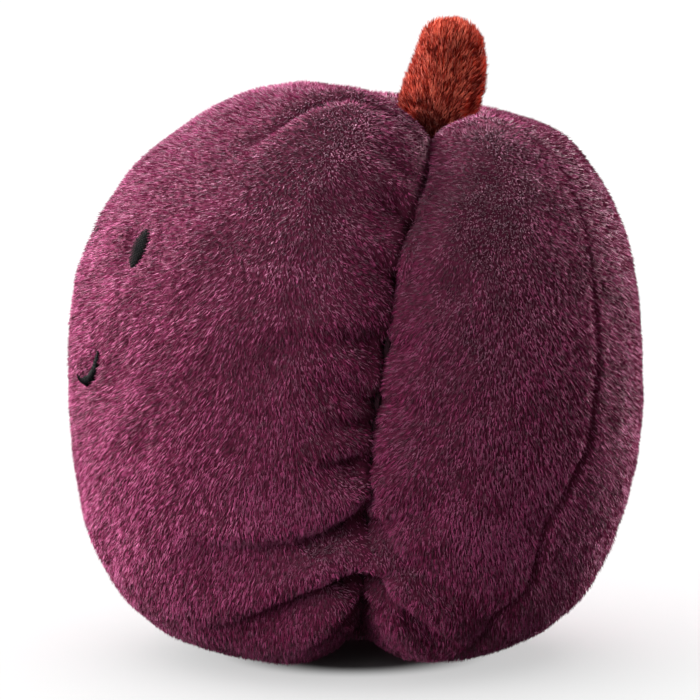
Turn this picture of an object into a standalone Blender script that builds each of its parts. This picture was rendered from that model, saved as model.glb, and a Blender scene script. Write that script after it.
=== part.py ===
"""A palm-sized plush plum: pile panels round a stuffed ball, a pile stem and an embroidered face.

Metres, +Z up. The face looks along -Y. The deep crease is on the toy's own left side, towards +X.
Polar angles run down from the crown dimple, and azimuths run from the face towards the crease.
"""
import math
from collections import namedtuple

import bmesh
import bpy
from mathutils import Matrix, Vector

MM = 0.001
NAME = "plush_plum"

# Stuffed ball, to the tips of the pile
HALF_WIDTH = 43.6 * MM
HALF_DEPTH = 44.8 * MM
HALF_HEIGHT = 45.2 * MM
FLAT_SPOT_SINK = 1.0 * MM
SQUARENESS_TOP = 2.45
SQUARENESS_BASE = 2.95
CROWN_LEAN = math.radians(13.5)
BACKWARD_SHIFT = 1.6 * MM

# Crown dimple and base pucker, each an open ring with a rounded lip
CROWN_RING = 5.4 * MM
CROWN_REACH = 16.0 * MM
CROWN_DEPTH = 10.5 * MM
BASE_RING = 3.4 * MM
BASE_REACH = 9.0 * MM
BASE_DEPTH = 5.0 * MM

# Crease from the crown to the base
CREASE_AZIMUTH = math.radians(72.5)
CREASE_BOW = math.radians(2.6)
CREASE_REACH_TOP = 14.0 * MM
CREASE_REACH_BASE = 9.5 * MM
CREASE_DEPTH = 9.5 * MM
CREASE_LIP_SHARE = 0.55

# Panel seams
BACK_SEAM_AZIMUTH = math.radians(124)
FAR_SEAM_AZIMUTH = math.radians(-78)
SEAM_REACH = 4.5 * MM
SEAM_DEPTH = 1.3 * MM
PANEL_GAP = 0.2 * MM
PANEL_THICKNESS = 2.0 * MM

# Gathered folds that run out of the crease; side -1 is the face's lobe, +1 the side panel
Fold = namedtuple("Fold", "side height run drop depth reach")
FOLDS = (
    Fold(-1, 23.5 * MM, 27 * MM, 1.5 * MM, 2.3 * MM, 2.4 * MM),
    Fold(-1, 17.0 * MM, 25 * MM, 8.5 * MM, 2.5 * MM, 2.3 * MM),
    Fold(-1, 11.0 * MM, 13 * MM, 5.0 * MM, 1.8 * MM, 2.0 * MM),
    Fold(-1, 55.5 * MM, 14 * MM, -1.0 * MM, 1.2 * MM, 2.4 * MM),
    Fold(+1, 28.5 * MM, 13 * MM, 2.0 * MM, 1.3 * MM, 2.2 * MM),
    Fold(+1, 18.5 * MM, 21 * MM, 14.0 * MM, 2.4 * MM, 2.1 * MM),
    Fold(+1, 23.5 * MM, 25 * MM, 11.0 * MM, 1.8 * MM, 2.8 * MM),
)
FOLD_SPREAD = 0.12

# Stuffing and the thread that draws the crown down
FILLING_INSET = 3.6 * MM
FILLING_WIDENING = 3.0 * MM
THREAD_RADIUS = 0.6 * MM
CHANNEL_RADIUS = 1.3 * MM
KNOT_RADIUS = 1.9 * MM
CREASE_THREAD_RADIUS = 0.45 * MM
CHANNEL_OVERRUN = 9.0 * MM
THREAD_END_GAP = 0.5 * MM

# Stem, a rust pile tube with a closed top
STEM_ROOT_RADIUS = 2.9 * MM
STEM_BASE_RADIUS = 6.2 * MM
STEM_TOP_RADIUS = 4.9 * MM
STEM_LENGTH = 22.6 * MM
STEM_FLARE = 10.0 * MM
STEM_DOME = 4.2 * MM
STEM_LEAN = math.radians(9.5)
STEM_WALL = 1.3 * MM
STEM_FILLING_GAP = 0.5 * MM
STEM_FILLING_FOOT = 2.2 * MM

# Embroidered face
EYE_AZIMUTH = math.radians(14.8)
EYE_POLAR = math.radians(70.3)
EYE_HALF_WIDTH = 2.2 * MM
EYE_HALF_HEIGHT = 3.2 * MM
EYE_HALF_THICKNESS = 0.7 * MM
EYE_TURN = math.radians(3)
MOUTH_POLAR = math.radians(89.2)
MOUTH_HALF_WIDTH = 5.2 * MM
MOUTH_DROP = 4.6 * MM
MOUTH_THREAD_RADIUS = 0.55 * MM
FACE_SINK = 0.6 * MM
FACE_GAP = 0.35 * MM

# Grid fineness
PANEL_ROWS = 38
POLE_CROWDING = 0.2
LIP_COLUMNS = 5
FRONT_COLUMNS = 14
SIDE_COLUMNS = 5
BACK_COLUMNS = 12
FILLING_COLUMNS = 32
FILLING_ROWS = 22
FILLING_CROWDING = 0.72

PLUM = (0.105, 0.022, 0.048, 1.0)
RUST = (0.30, 0.045, 0.022, 1.0)
BLACK = (0.012, 0.010, 0.011, 1.0)
WADDING = (0.80, 0.79, 0.76, 1.0)
THREAD = (0.10, 0.03, 0.05, 1.0)


def clear_scene():
    """Remove every object that the file starts with."""
    for thing in list(bpy.data.objects):
        bpy.data.objects.remove(thing, do_unlink=True)


def material(name, colour, roughness):
    """Return a plain cloth material."""
    mat = bpy.data.materials.new(name)
    mat.use_nodes = True
    shader = mat.node_tree.nodes["Principled BSDF"]
    shader.inputs["Base Color"].default_value = colour
    shader.inputs["Roughness"].default_value = roughness
    shader.inputs["Metallic"].default_value = 0.0
    mat.diffuse_color = colour
    return mat


def add_object(name, mesh, mat, collection):
    """Link a mesh as a named object with its own material."""
    thing = bpy.data.objects.new(name, mesh)
    collection.objects.link(thing)
    if mat:
        mesh.materials.append(mat)
    return thing


def ball_direction(polar, azimuth):
    """Return the unit direction from the ball's centre; the crown end leans back."""
    lean = CROWN_LEAN * (0.5 + 0.5 * math.cos(polar))
    x = math.sin(polar) * math.sin(azimuth)
    y = -math.sin(polar) * math.cos(azimuth)
    z = math.cos(polar)
    return Vector((x, y * math.cos(lean) + z * math.sin(lean), z * math.cos(lean) - y * math.sin(lean)))


def ball_radius(direction):
    """Return the smooth ball's radius: a rounded box section, squarer towards the base."""
    blend = min(1.0, max(0.0, 0.5 + direction.z))
    power = SQUARENESS_BASE + (SQUARENESS_TOP - SQUARENESS_BASE) * blend
    across = math.hypot(direction.x / HALF_WIDTH, direction.y / HALF_DEPTH)
    upward = abs(direction.z) / HALF_HEIGHT
    return (across ** power + upward ** power) ** (-1.0 / power)


def lip(distance, reach):
    """Return 1 at a cleft's valley and 0 past its reach, with a rounded lip between."""
    inward = min(1.0, max(0.0, 1.0 - distance / reach))
    return 1.0 - math.sqrt(1.0 - inward * inward)


def crease_azimuth(polar):
    """Return the azimuth of the crease's valley at a polar angle."""
    return CREASE_AZIMUTH + CREASE_BOW * math.sin(polar)


def crease_reach(polar):
    """Return how far the crease's lips reach, less near the base."""
    return CREASE_REACH_BASE + (CREASE_REACH_TOP - CREASE_REACH_BASE) * (0.5 + 0.5 * math.cos(polar))


def turn_between(azimuth, other):
    """Return the signed angle from one azimuth to another, within half a turn."""
    return (azimuth - other + math.pi) % (2.0 * math.pi) - math.pi


def fold_depth(across, height):
    """Return the depth of the gathers at a distance across from the crease and a height."""
    total = 0.0
    for fold in FOLDS:
        along = across * fold.side
        if not 0.0 <= along < fold.run:
            continue
        share = along / fold.run
        valley = fold.height - fold.drop * share
        width = fold.reach + FOLD_SPREAD * along
        fade = (1.0 - share) * (1.0 - share) * (1.0 + 2.0 * share)
        total += fold.depth * fade * math.exp(-((height - valley) / width) ** 2)
    return total


def surface_depth(polar, azimuth, radius, height, widening=0.0):
    """Return how deep the surface lies below the smooth ball: crown, base, crease, seams and folds."""
    level = radius * math.sin(polar)
    across = level * turn_between(azimuth, crease_azimuth(polar))
    crease = CREASE_DEPTH * lip(max(0.0, abs(across) - widening), crease_reach(polar))
    crown = CROWN_DEPTH * lip(max(0.0, radius * polar - CROWN_RING - widening), CROWN_REACH)
    base = BASE_DEPTH * lip(max(0.0, radius * (math.pi - polar) - BASE_RING - widening), BASE_REACH)
    deepest = (crease ** 4 + crown ** 4 + base ** 4) ** 0.25
    seams = 0.0
    for seam in (BACK_SEAM_AZIMUTH, FAR_SEAM_AZIMUTH):
        seams += SEAM_DEPTH * lip(level * abs(turn_between(azimuth, seam)), SEAM_REACH)
    shallow = 1.0 - min(1.0, deepest / CREASE_DEPTH)
    return deepest + seams * shallow + fold_depth(across, height) * (0.35 + 0.65 * shallow)


def surface_point(polar, azimuth, sink=0.0, widening=0.0):
    """Return a point of the plush surface, or of one that lies a little inside it."""
    direction = ball_direction(polar, azimuth)
    radius = ball_radius(direction)
    centre = Vector((0.0, 0.0, HALF_HEIGHT - FLAT_SPOT_SINK))
    height = (centre + direction * radius).z
    depth = surface_depth(polar, azimuth, radius, height, widening)
    downward = max(0.0, math.cos(polar)) ** 2
    inward = direction.lerp(Vector((0.0, 0.0, 1.0)), downward).normalized()
    point = centre + direction * radius - inward * (depth + sink)
    point.y += BACKWARD_SHIFT * max(0.0, direction.z)
    point.z = max(point.z, sink)
    return point


def surface_axes(polar, azimuth):
    """Return the surface's rightward, upward and outward unit vectors at a point."""
    step = math.radians(1.0)
    right = surface_point(polar, azimuth + step) - surface_point(polar, azimuth - step)
    upward = surface_point(polar - step, azimuth) - surface_point(polar + step, azimuth)
    outward = right.cross(upward).normalized()
    upward = (upward - outward * upward.dot(outward)).normalized()
    return upward.cross(outward), upward, outward


def panel_polar(share):
    """Return the polar angle of a grid row, from the base ring to the crown ring."""
    low = math.pi - BASE_RING / HALF_HEIGHT
    high = CROWN_RING / HALF_HEIGHT
    eased = share - POLE_CROWDING * math.sin(2.0 * math.pi * share) / (2.0 * math.pi)
    return low + (high - low) * eased


def edge_offset(polar, distance):
    """Return the azimuth that spans a distance round the ball, at the crease's depth."""
    return distance / ((HALF_DEPTH - CREASE_DEPTH) * math.sin(polar))


def lip_span(polar):
    """Return the azimuth that the crease's lip takes, at most a share of the gore near its ends."""
    gore = BACK_SEAM_AZIMUTH - crease_azimuth(polar)
    return min(crease_reach(polar) / (HALF_DEPTH * math.sin(polar)), CREASE_LIP_SHARE * gore)


def lip_azimuths(polar):
    """Return azimuth offsets from the crease's valley out over its lip, evenly spaced on the curve."""
    gap = edge_offset(polar, PANEL_GAP)
    offsets = []
    for step in range(LIP_COLUMNS):
        slope = 0.5 * math.pi * (1.0 - step / LIP_COLUMNS)
        offsets.append(gap + lip_span(polar) * (1.0 - math.sin(slope)))
    return offsets


def spread(start, end, steps):
    """Return evenly spaced values from start to end, both included."""
    return [start + (end - start) * step / steps for step in range(steps + 1)]


def front_columns(polar):
    """Return the face panel's azimuths, from the far seam to the crease."""
    valley = crease_azimuth(polar)
    over_lip = [valley - offset for offset in lip_azimuths(polar)]
    plain_end = valley - edge_offset(polar, PANEL_GAP) - lip_span(polar)
    plain = spread(FAR_SEAM_AZIMUTH + edge_offset(polar, PANEL_GAP), plain_end, FRONT_COLUMNS)
    return plain + over_lip[::-1]


def side_columns(polar):
    """Return the gore's azimuths, from the crease to the back seam."""
    valley = crease_azimuth(polar)
    over_lip = [valley + offset for offset in lip_azimuths(polar)]
    plain_start = valley + edge_offset(polar, PANEL_GAP) + lip_span(polar)
    plain = spread(plain_start, BACK_SEAM_AZIMUTH - edge_offset(polar, PANEL_GAP), SIDE_COLUMNS)
    return over_lip + plain


def back_columns(polar):
    """Return the back panel's azimuths, from the back seam round to the far seam."""
    start = BACK_SEAM_AZIMUTH + edge_offset(polar, PANEL_GAP)
    end = FAR_SEAM_AZIMUTH + 2.0 * math.pi - edge_offset(polar, PANEL_GAP)
    return spread(start, end, BACK_COLUMNS)


def fabric_panel(name, columns_at, mat, collection):
    """Return a panel of pile fabric: a grid laid on the surface and thickened inwards."""
    columns = len(columns_at(0.5 * math.pi)) - 1
    shape = bmesh.new()
    bmesh.ops.create_grid(shape, x_segments=columns, y_segments=PANEL_ROWS, size=1.0)
    for vertex in shape.verts:
        polar = panel_polar(0.5 * vertex.co.y + 0.5)
        column = round((0.5 * vertex.co.x + 0.5) * columns)
        vertex.co = surface_point(polar, columns_at(polar)[column])
    mesh = bpy.data.meshes.new(name)
    shape.to_mesh(mesh)
    shape.free()
    mesh.shade_smooth()
    panel = add_object(name, mesh, mat, collection)
    thicken = panel.modifiers.new("Thickness", "SOLIDIFY")
    thicken.thickness = PANEL_THICKNESS
    thicken.offset = -1.0
    return panel


def cut(target, cutter):
    """Cut one object out of another."""
    boolean = target.modifiers.new("Cut " + cutter.name, "BOOLEAN")
    boolean.operation = "DIFFERENCE"
    boolean.solver = "EXACT"
    boolean.object = cutter


def hide_guide(guide):
    """Mark an object as a cutter that is no part of the toy."""
    guide.hide_render = True
    guide.display_type = "WIRE"


def fibre_filling(mat, collection):
    """Return the stuffing: the ball again, inset from the fabric and opened wider at its clefts."""
    shape = bmesh.new()
    bmesh.ops.create_uvsphere(shape, u_segments=FILLING_COLUMNS, v_segments=FILLING_ROWS, radius=1.0)
    for vertex in shape.verts:
        polar = math.acos(max(-1.0, min(1.0, vertex.co.z)))
        turn = math.atan2(vertex.co.y, vertex.co.x)
        azimuth = crease_azimuth(polar) + turn - FILLING_CROWDING * math.sin(turn)
        vertex.co = surface_point(polar, azimuth, FILLING_INSET, FILLING_WIDENING)
    mesh = bpy.data.meshes.new("fibre_filling")
    shape.to_mesh(mesh)
    shape.free()
    mesh.shade_smooth()
    return add_object("fibre_filling", mesh, mat, collection)


def tube(name, points, radius, mat, collection):
    """Return a round thread through points, as a closed mesh."""
    curve = bpy.data.curves.new(name, "CURVE")
    curve.dimensions = "3D"
    curve.bevel_depth = radius
    curve.bevel_resolution = 2
    curve.use_fill_caps = True
    spline = curve.splines.new("POLY")
    spline.points.add(len(points) - 1)
    for slot, point in zip(spline.points, points):
        slot.co = (point.x, point.y, point.z, 1.0)
    drawn = bpy.data.objects.new(name + "_curve", curve)
    collection.objects.link(drawn)
    evaluated = drawn.evaluated_get(bpy.context.evaluated_depsgraph_get())
    mesh = bpy.data.meshes.new_from_object(evaluated)
    bpy.data.objects.remove(drawn, do_unlink=True)
    shape = bmesh.new()
    shape.from_mesh(mesh)
    bmesh.ops.remove_doubles(shape, verts=shape.verts, dist=0.00001)
    shape.to_mesh(mesh)
    shape.free()
    mesh.name = name
    mesh.materials.clear()
    mesh.shade_smooth()
    return add_object(name, mesh, mat, collection)


def crown_point():
    """Return the middle of the crown ring, where the stem is sewn in."""
    return surface_point(0.0, 0.0)


def base_point():
    """Return the middle of the base ring, inside the pucker."""
    return surface_point(math.pi, 0.0)


def oval_pad(name, polar, azimuth, turn, growth, mat, collection):
    """Return a flattened ball set in the face, its long axis upright; growth widens it all round."""
    right, upward, outward = surface_axes(polar, azimuth)
    spot = surface_point(polar, azimuth) - outward * FACE_SINK
    shape = bmesh.new()
    bmesh.ops.create_uvsphere(shape, u_segments=20, v_segments=10, radius=1.0)
    half = (EYE_HALF_WIDTH + growth, EYE_HALF_HEIGHT + growth, EYE_HALF_THICKNESS + growth)
    bmesh.ops.scale(shape, vec=half, verts=shape.verts)
    mesh = bpy.data.meshes.new(name)
    shape.to_mesh(mesh)
    shape.free()
    mesh.shade_smooth()
    pad = add_object(name, mesh, mat, collection)
    axes = Matrix((right, upward, outward)).transposed().to_4x4()
    pad.matrix_world = Matrix.Translation(spot) @ axes @ Matrix.Rotation(turn, 4, "Z")
    return pad


def mouth_points(overrun=0.0):
    """Return the smile's centre line: the lower half of an oval, laid on the face."""
    points = []
    extra = overrun / MOUTH_DROP
    for angle in spread(-extra, math.pi + extra, 16):
        across = -MOUTH_HALF_WIDTH * math.cos(angle)
        drop = MOUTH_DROP * math.sin(angle)
        polar = MOUTH_POLAR + drop / HALF_DEPTH
        azimuth = across / HALF_DEPTH
        outward = surface_axes(polar, azimuth)[2]
        points.append(surface_point(polar, azimuth) - outward * FACE_SINK)
    return points


def stem_radius(height):
    """Return the stem's radius at a height above its root: flared base, then a gentle taper."""
    flare = min(1.0, height / STEM_FLARE)
    base = STEM_ROOT_RADIUS + (STEM_BASE_RADIUS - STEM_ROOT_RADIUS) * math.sin(0.5 * math.pi * flare)
    taper = max(0.0, (height - STEM_FLARE) / (STEM_LENGTH - STEM_FLARE))
    return base + (STEM_TOP_RADIUS - STEM_BASE_RADIUS) * taper


def stem_profile(inset, foot):
    """Return the stem's section from its domed top down to its root, as radius and height."""
    top = STEM_LENGTH - inset
    dome_base = STEM_LENGTH - STEM_DOME
    rim = stem_radius(dome_base) - inset
    profile = []
    for step in range(6):
        angle = 0.5 * math.pi * step / 6
        profile.append((rim * math.sin(angle), dome_base + (top - dome_base) * math.cos(angle)))
    for height in spread(dome_base, foot, 8):
        profile.append((stem_radius(height) - inset, height))
    return profile


def turned(name, profile, mat, collection):
    """Return a shape turned about +Z from a profile of radius and height."""
    mesh = bpy.data.meshes.new(name)
    points = [(radius, 0.0, height) for radius, height in profile]
    edges = [(index, index + 1) for index in range(len(points) - 1)]
    mesh.from_pydata(points, edges, [])
    shape = add_object(name, mesh, mat, collection)
    screw = shape.modifiers.new("Turn", "SCREW")
    screw.steps = 20
    screw.render_steps = 20
    screw.use_merge_vertices = True
    screw.merge_threshold = 0.00001
    screw.use_smooth_shade = True
    return shape


def stand_stem(shape):
    """Set a stem piece in the crown, leaning back with the dimple."""
    shape.location = crown_point()
    shape.rotation_euler = (-STEM_LEAN, 0.0, 0.0)


def stem_cover(mat, collection):
    """Return the pile tube, closed at the top and open at its root."""
    cover = turned("stem_cover", stem_profile(0.0, 0.0), mat, collection)
    wall = cover.modifiers.new("Thickness", "SOLIDIFY")
    wall.thickness = STEM_WALL
    wall.offset = -1.0
    stand_stem(cover)
    return cover


def stem_filling(mat, collection):
    """Return the plug of stuffing inside the stem."""
    inset = STEM_WALL + STEM_FILLING_GAP
    profile = stem_profile(inset, STEM_FILLING_FOOT)
    profile.append((0.0, STEM_FILLING_FOOT))
    filling = turned("stem_filling", profile, mat, collection)
    stand_stem(filling)
    return filling


def draw_thread(mat, collection, cutters, filling):
    """Return the cord from the stem's root to the base knot, in a channel through the stuffing."""
    top = crown_point()
    foot = base_point()
    along = (foot - top).normalized()
    run = [top - along * CHANNEL_OVERRUN, foot + along * CHANNEL_OVERRUN]
    channel = tube("thread_channel", run, CHANNEL_RADIUS, None, cutters)
    hide_guide(channel)
    cut(filling, channel)
    ends = [top + along * THREAD_END_GAP, foot - along * THREAD_END_GAP]
    return tube("draw_thread", ends, THREAD_RADIUS, mat, collection)


def base_knot(mat, collection):
    """Return the knot that holds the cord in the base pucker."""
    shape = bmesh.new()
    bmesh.ops.create_uvsphere(shape, u_segments=12, v_segments=8, radius=KNOT_RADIUS)
    mesh = bpy.data.meshes.new("base_knot")
    shape.to_mesh(mesh)
    shape.free()
    mesh.shade_smooth()
    knot = add_object("base_knot", mesh, mat, collection)
    knot.location = base_point() - Vector((0.0, 0.0, KNOT_RADIUS))
    return knot


def crease_thread(mat, collection):
    """Return the gathering thread that runs inside the crease's valley."""
    points = []
    for polar in spread(math.radians(24), math.radians(158), 28):
        points.append(surface_point(polar, crease_azimuth(polar)))
    return tube("crease_thread", points, CREASE_THREAD_RADIUS, mat, collection)


def build():
    """Build the toy."""
    clear_scene()
    toy = bpy.data.collections.new(NAME)
    cutters = bpy.data.collections.new("cutters")
    bpy.context.scene.collection.children.link(toy)
    bpy.context.scene.collection.children.link(cutters)
    front = fabric_panel("front_panel", front_columns, material("front_pile", PLUM, 0.9), toy)
    fabric_panel("side_panel", side_columns, material("side_pile", PLUM, 0.9), toy)
    fabric_panel("back_panel", back_columns, material("back_pile", PLUM, 0.9), toy)
    filling = fibre_filling(material("fibre_filling", WADDING, 0.95), toy)
    draw_thread(material("draw_thread", THREAD, 0.8), toy, cutters, filling)
    base_knot(material("base_knot", THREAD, 0.8), toy)
    crease_thread(material("crease_thread", THREAD, 0.8), toy)
    stem_cover(material("stem_pile", RUST, 0.9), toy)
    stem_filling(material("stem_filling", WADDING, 0.95), toy)
    for name, side in (("eye_left", 1.0), ("eye_right", -1.0)):
        azimuth = side * EYE_AZIMUTH
        oval_pad(name, EYE_POLAR, azimuth, -side * EYE_TURN, 0.0, material(name, BLACK, 0.6), toy)
        pocket = oval_pad(name + "_pocket", EYE_POLAR, azimuth, -side * EYE_TURN, FACE_GAP, None, cutters)
        hide_guide(pocket)
        cut(front, pocket)
    tube("mouth", mouth_points(), MOUTH_THREAD_RADIUS, material("mouth", BLACK, 0.6), toy)
    groove = tube("mouth_groove", mouth_points(FACE_GAP), MOUTH_THREAD_RADIUS + FACE_GAP, None, cutters)
    hide_guide(groove)
    cut(front, groove)


build()
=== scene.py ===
"""Render scene for a palm-sized plush plum: stuffed pile panels, a pile stem and a stitched face."""
import math

import bpy
import numpy as np
from mathutils import Matrix, Vector


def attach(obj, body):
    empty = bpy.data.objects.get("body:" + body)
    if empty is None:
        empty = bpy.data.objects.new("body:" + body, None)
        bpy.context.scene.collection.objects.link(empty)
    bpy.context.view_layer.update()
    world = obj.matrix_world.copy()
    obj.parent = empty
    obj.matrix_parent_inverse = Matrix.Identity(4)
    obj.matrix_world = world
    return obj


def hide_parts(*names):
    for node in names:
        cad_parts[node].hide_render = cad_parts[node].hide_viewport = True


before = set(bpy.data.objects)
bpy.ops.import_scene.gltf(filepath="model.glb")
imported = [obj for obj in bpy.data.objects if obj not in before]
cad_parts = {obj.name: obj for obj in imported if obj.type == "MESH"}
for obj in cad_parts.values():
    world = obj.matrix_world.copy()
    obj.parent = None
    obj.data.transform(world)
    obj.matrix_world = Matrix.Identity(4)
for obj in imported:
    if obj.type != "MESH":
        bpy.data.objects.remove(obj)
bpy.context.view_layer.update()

MM = 0.001

# Polar angles run from the crown down, and azimuths from the face round to the toy's own left, in
# radians where nothing else is said

# Stuffed ball, to the tips of the pile, as in the solid model
HALF_WIDTH = 43.6 * MM
HALF_DEPTH = 44.8 * MM
HALF_HEIGHT = 45.2 * MM
FLAT_SPOT_SINK = 1.0 * MM
SQUARENESS_TOP = 2.50
SQUARENESS_BASE = 2.90
CROWN_LEAN = math.radians(13.5)
BACKWARD_SHIFT = 1.6 * MM
CROWN_RING = 5.4 * MM
CROWN_REACH = 16.0 * MM
CROWN_DEPTH = 10.5 * MM
BASE_RING = 3.4 * MM
BASE_REACH = 9.0 * MM
BASE_DEPTH = 5.0 * MM
CREASE_AZIMUTH = math.radians(72.5)
CREASE_BOW = math.radians(2.6)
CREASE_DRIFT = math.radians(2.3)
CREASE_DRIFT_POLAR = 0.93
CREASE_DRIFT_SPAN = 0.24
CREASE_REACH_TOP = 14.0 * MM
CREASE_REACH_BASE = 9.5 * MM
CREASE_DEPTH = 10.5 * MM
CREASE_TIGHT_FROM = (0.45, 1.1)
CREASE_TIGHT_UNTIL = (2.3, 2.7)
CREASE_TIGHTER_SIDE = 0.55
CREASE_TIGHTER_FACE = 0.22
CREASE_LOW = (2.35, 2.7)
CREASE_WIDER_LOW = 0.35
FAR_SEAM_AZIMUTH = math.radians(-78)
SEAM_REACH = 4.0 * MM
SEAM_DEPTH = 1.6 * MM
SEAM_SHOW_TOP = 0.4
SEAM_SHOW_RISE = (0.8, 1.5)

# The back seam's line, as polar and azimuth angles in degrees
BACK_SEAM = ((0, 92), (21, 100), (29, 114), (37, 120), (62, 122), (80, 124), (96, 123), (106, 118),
             (113, 114), (126, 114), (134, 108), (145, 110), (180, 112))

# Full shoulder round the crown
SHOULDER_POLAR = math.radians(27)
SHOULDER_SPAN = math.radians(13)
SHOULDER_RISE = 1.3 * MM

# Slight tuck below the middle, more behind
WAIST_POLAR = math.radians(120)
WAIST_SPAN = math.radians(17)
WAIST_DEPTH = 0.6 * MM
BACK_TUCK_AZIMUTH = math.radians(135)
BACK_TUCK_SPAN = math.radians(42)
BACK_TUCK_DEPTH = 1.0 * MM

# Back lobe: slimmer at the middle and higher at the top than the smooth ball
BACK_LOBE_AZIMUTH = math.radians(158)
BACK_LOBE_SPAN = math.radians(50)
BACK_LOBE_SLIM = 0.9 * MM
BACK_LOBE_SLIM_POLAR = 1.0
BACK_LOBE_SLIM_SPAN = 0.50
BACK_LOBE_RISE = 0.8 * MM
BACK_LOBE_RISE_POLAR = 0.28
BACK_LOBE_RISE_SPAN = 0.11

# Skin under the pile
SKIN_INSET = 0.95 * MM
SKIN_THICKNESS = 0.7 * MM
SKIN_TOP = 0.08
SKIN_BOTTOM = math.pi - 0.06
SKIN_LOWEST = 1.0 * MM
FILLING_GAP = 1.6 * MM
FILLING_SPREAD = 4

# Rows and columns of the skin, closer together where the pleats are and beside the crease
SKIN_ROWS = 59
ROW_SAMPLES = 800
PLEAT_BAND = 2.2
PLEAT_BAND_SPAN = 0.5
PLEAT_BAND_CROWDING = 1.3
CREASE_CROWDING = 0.6
SIDE_STEPS = 20
BACK_STEPS = 36
FRONT_STEPS = 46
FINENESS = 2

# Share of the pleats' depth that stays in the crease's valley, and how soon beside it they are whole
VALLEY_SHARE = 0.4
VALLEY_FREEDOM = 40.0

# Unevenness of the skin: depth and spacing in mm, and a seed
SKIN_WAVES = ((0.22, 17, 5), (0.10, 7, 6))
NOISE_WAVES = 14
NOISE_SPREAD = (0.7, 1.6)
NOISE_LEVEL = 1.6

# Pleats gathered into the crease: a line in degrees of polar and azimuth, then in mm the depth,
# the width of the tuck below the line, the width above it and the swell above that
PLEATS = (
    (((115.0, 73), (116.2, 69), (118, 64), (119.5, 57.5), (120.5, 49), (121, 41), (121.5, 31)),
     5.0, 4.2, 1.2, 1.6),
    (((126.8, 73), (127.2, 69), (128.2, 65), (129.8, 60), (132, 54), (135, 45.5), (137.3, 37), (139, 27)),
     6.6, 4.2, 1.0, 1.8),
    (((136.5, 73), (137.8, 69), (140.5, 65), (145, 55)), 4.0, 2.2, 0.9, 1.0),
    (((103.5, 73.5), (103.2, 70.5), (103.5, 67.5), (104.5, 64), (106, 60)), 2.7, 2.6, 1.1, 0.6),
    (((95.5, 74), (95.3, 71), (95.8, 68), (97, 64.5), (98, 60)), 2.3, 2.2, 1.2, 0.5),
    (((90, 74), (88.5, 71), (87, 67.5), (86, 63)), 2.5, 2.4, 1.4, 0.5),
    (((76.5, 73.5), (77.5, 70), (78.5, 67), (79.5, 63), (80.5, 58), (81.5, 50)), 2.7, 3.2, 1.2, 0.7),
    (((107, 73), (109.5, 70)), 1.6, 2.4, 2.4, 0.0),
    (((60, 73), (62, 68), (63, 62)), 1.6, 2.0, 1.2, 0.4),
    (((45, 72), (47, 68), (50, 63)), 2.4, 1.8, 1.2, 0.5),
    (((111.5, 75), (111, 80), (111.5, 90)), 1.8, 2.6, 1.8, 0.7),
    (((128.5, 74.5), (130.4, 77.5), (131.8, 81.5), (135, 87.5), (139, 94), (141, 98.5), (143, 106)),
     7.6, 3.0, 0.8, 2.2),
    (((120, 76), (122.5, 78.5), (123.5, 83.5), (126.5, 89), (128, 93.5), (129.5, 98.5), (132, 106)),
     3.4, 2.8, 3.4, 0.6),
    (((90, 75), (91, 80), (90, 88)), 1.1, 2.0, 1.4, 0.4),
)
PLEAT_FADE = 0.8
PLEAT_WIDTH_START = 0.75
PLEAT_WIDTH_GROWTH = 0.5
PLEAT_CREST = 3.2 * MM
PLEAT_CREST_SPAN = 2.4 * MM
# Pleats under whose overhang a shadow is painted into the pile
FOLDS_WITH_PAINTED_SHADOW = (0, 1, 2, 3, 4, 5, 6, 11)

# A line on the back lobe along which shade is painted into the pile, and the dart above the face, in the same
# degrees
PAINTED_SHADE_LINE = ((108, 84), (114, 86), (121, 84), (124, 88), (127, 93), (129, 99))
DART = ((24.5, 69), (25, 62), (25.5, 55.5), (27, 41), (31.5, 33), (39, 31), (45, 28.5), (50, 24), (55, 18))
DART_DEPTH = 1.5 * MM
DART_SPAN = 0.95 * MM
DART_REACH = 1.6
DART_CREST = 3.2 * MM
DART_CREST_SPAN = 2.2 * MM
DART_SWELL = 0.6 * MM

# Stem
STEM_ROOT_RADIUS = 2.9 * MM
STEM_BASE_RADIUS = 6.2 * MM
STEM_TOP_RADIUS = 4.9 * MM
STEM_LENGTH = 22.6 * MM
STEM_FLARE = 10.0 * MM
STEM_DOME = 4.2 * MM
STEM_LEAN = math.radians(9.5)
STEM_INSET = 0.62 * MM
STEM_WALL = 0.5 * MM
STEM_ROWS = 34
STEM_COLUMNS = 48
STEM_DOME_RUN = 1.4
STEM_TIP_RADIUS = 0.02 * MM
STEM_SEAM_AZIMUTH = math.radians(38)
STEM_SEAM_RADIUS = 5.0 * MM
STEM_SEAM_SPAN = 0.8 * MM
STEM_SEAM_DEPTH = 0.8 * MM
STEM_SEAM_RISE = 6 * MM
STEM_BULGE_HEIGHT = 14.0 * MM
STEM_BULGE_SPAN = 3.6 * MM
STEM_BULGE = 0.8 * MM
STEM_UPPER_FROM = 9.0 * MM
STEM_UPPER_SPAN = 9.0 * MM
STEM_UPPER_SLIM = 0.05
STEM_UPPER_BEND = 0.65 * MM

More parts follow.
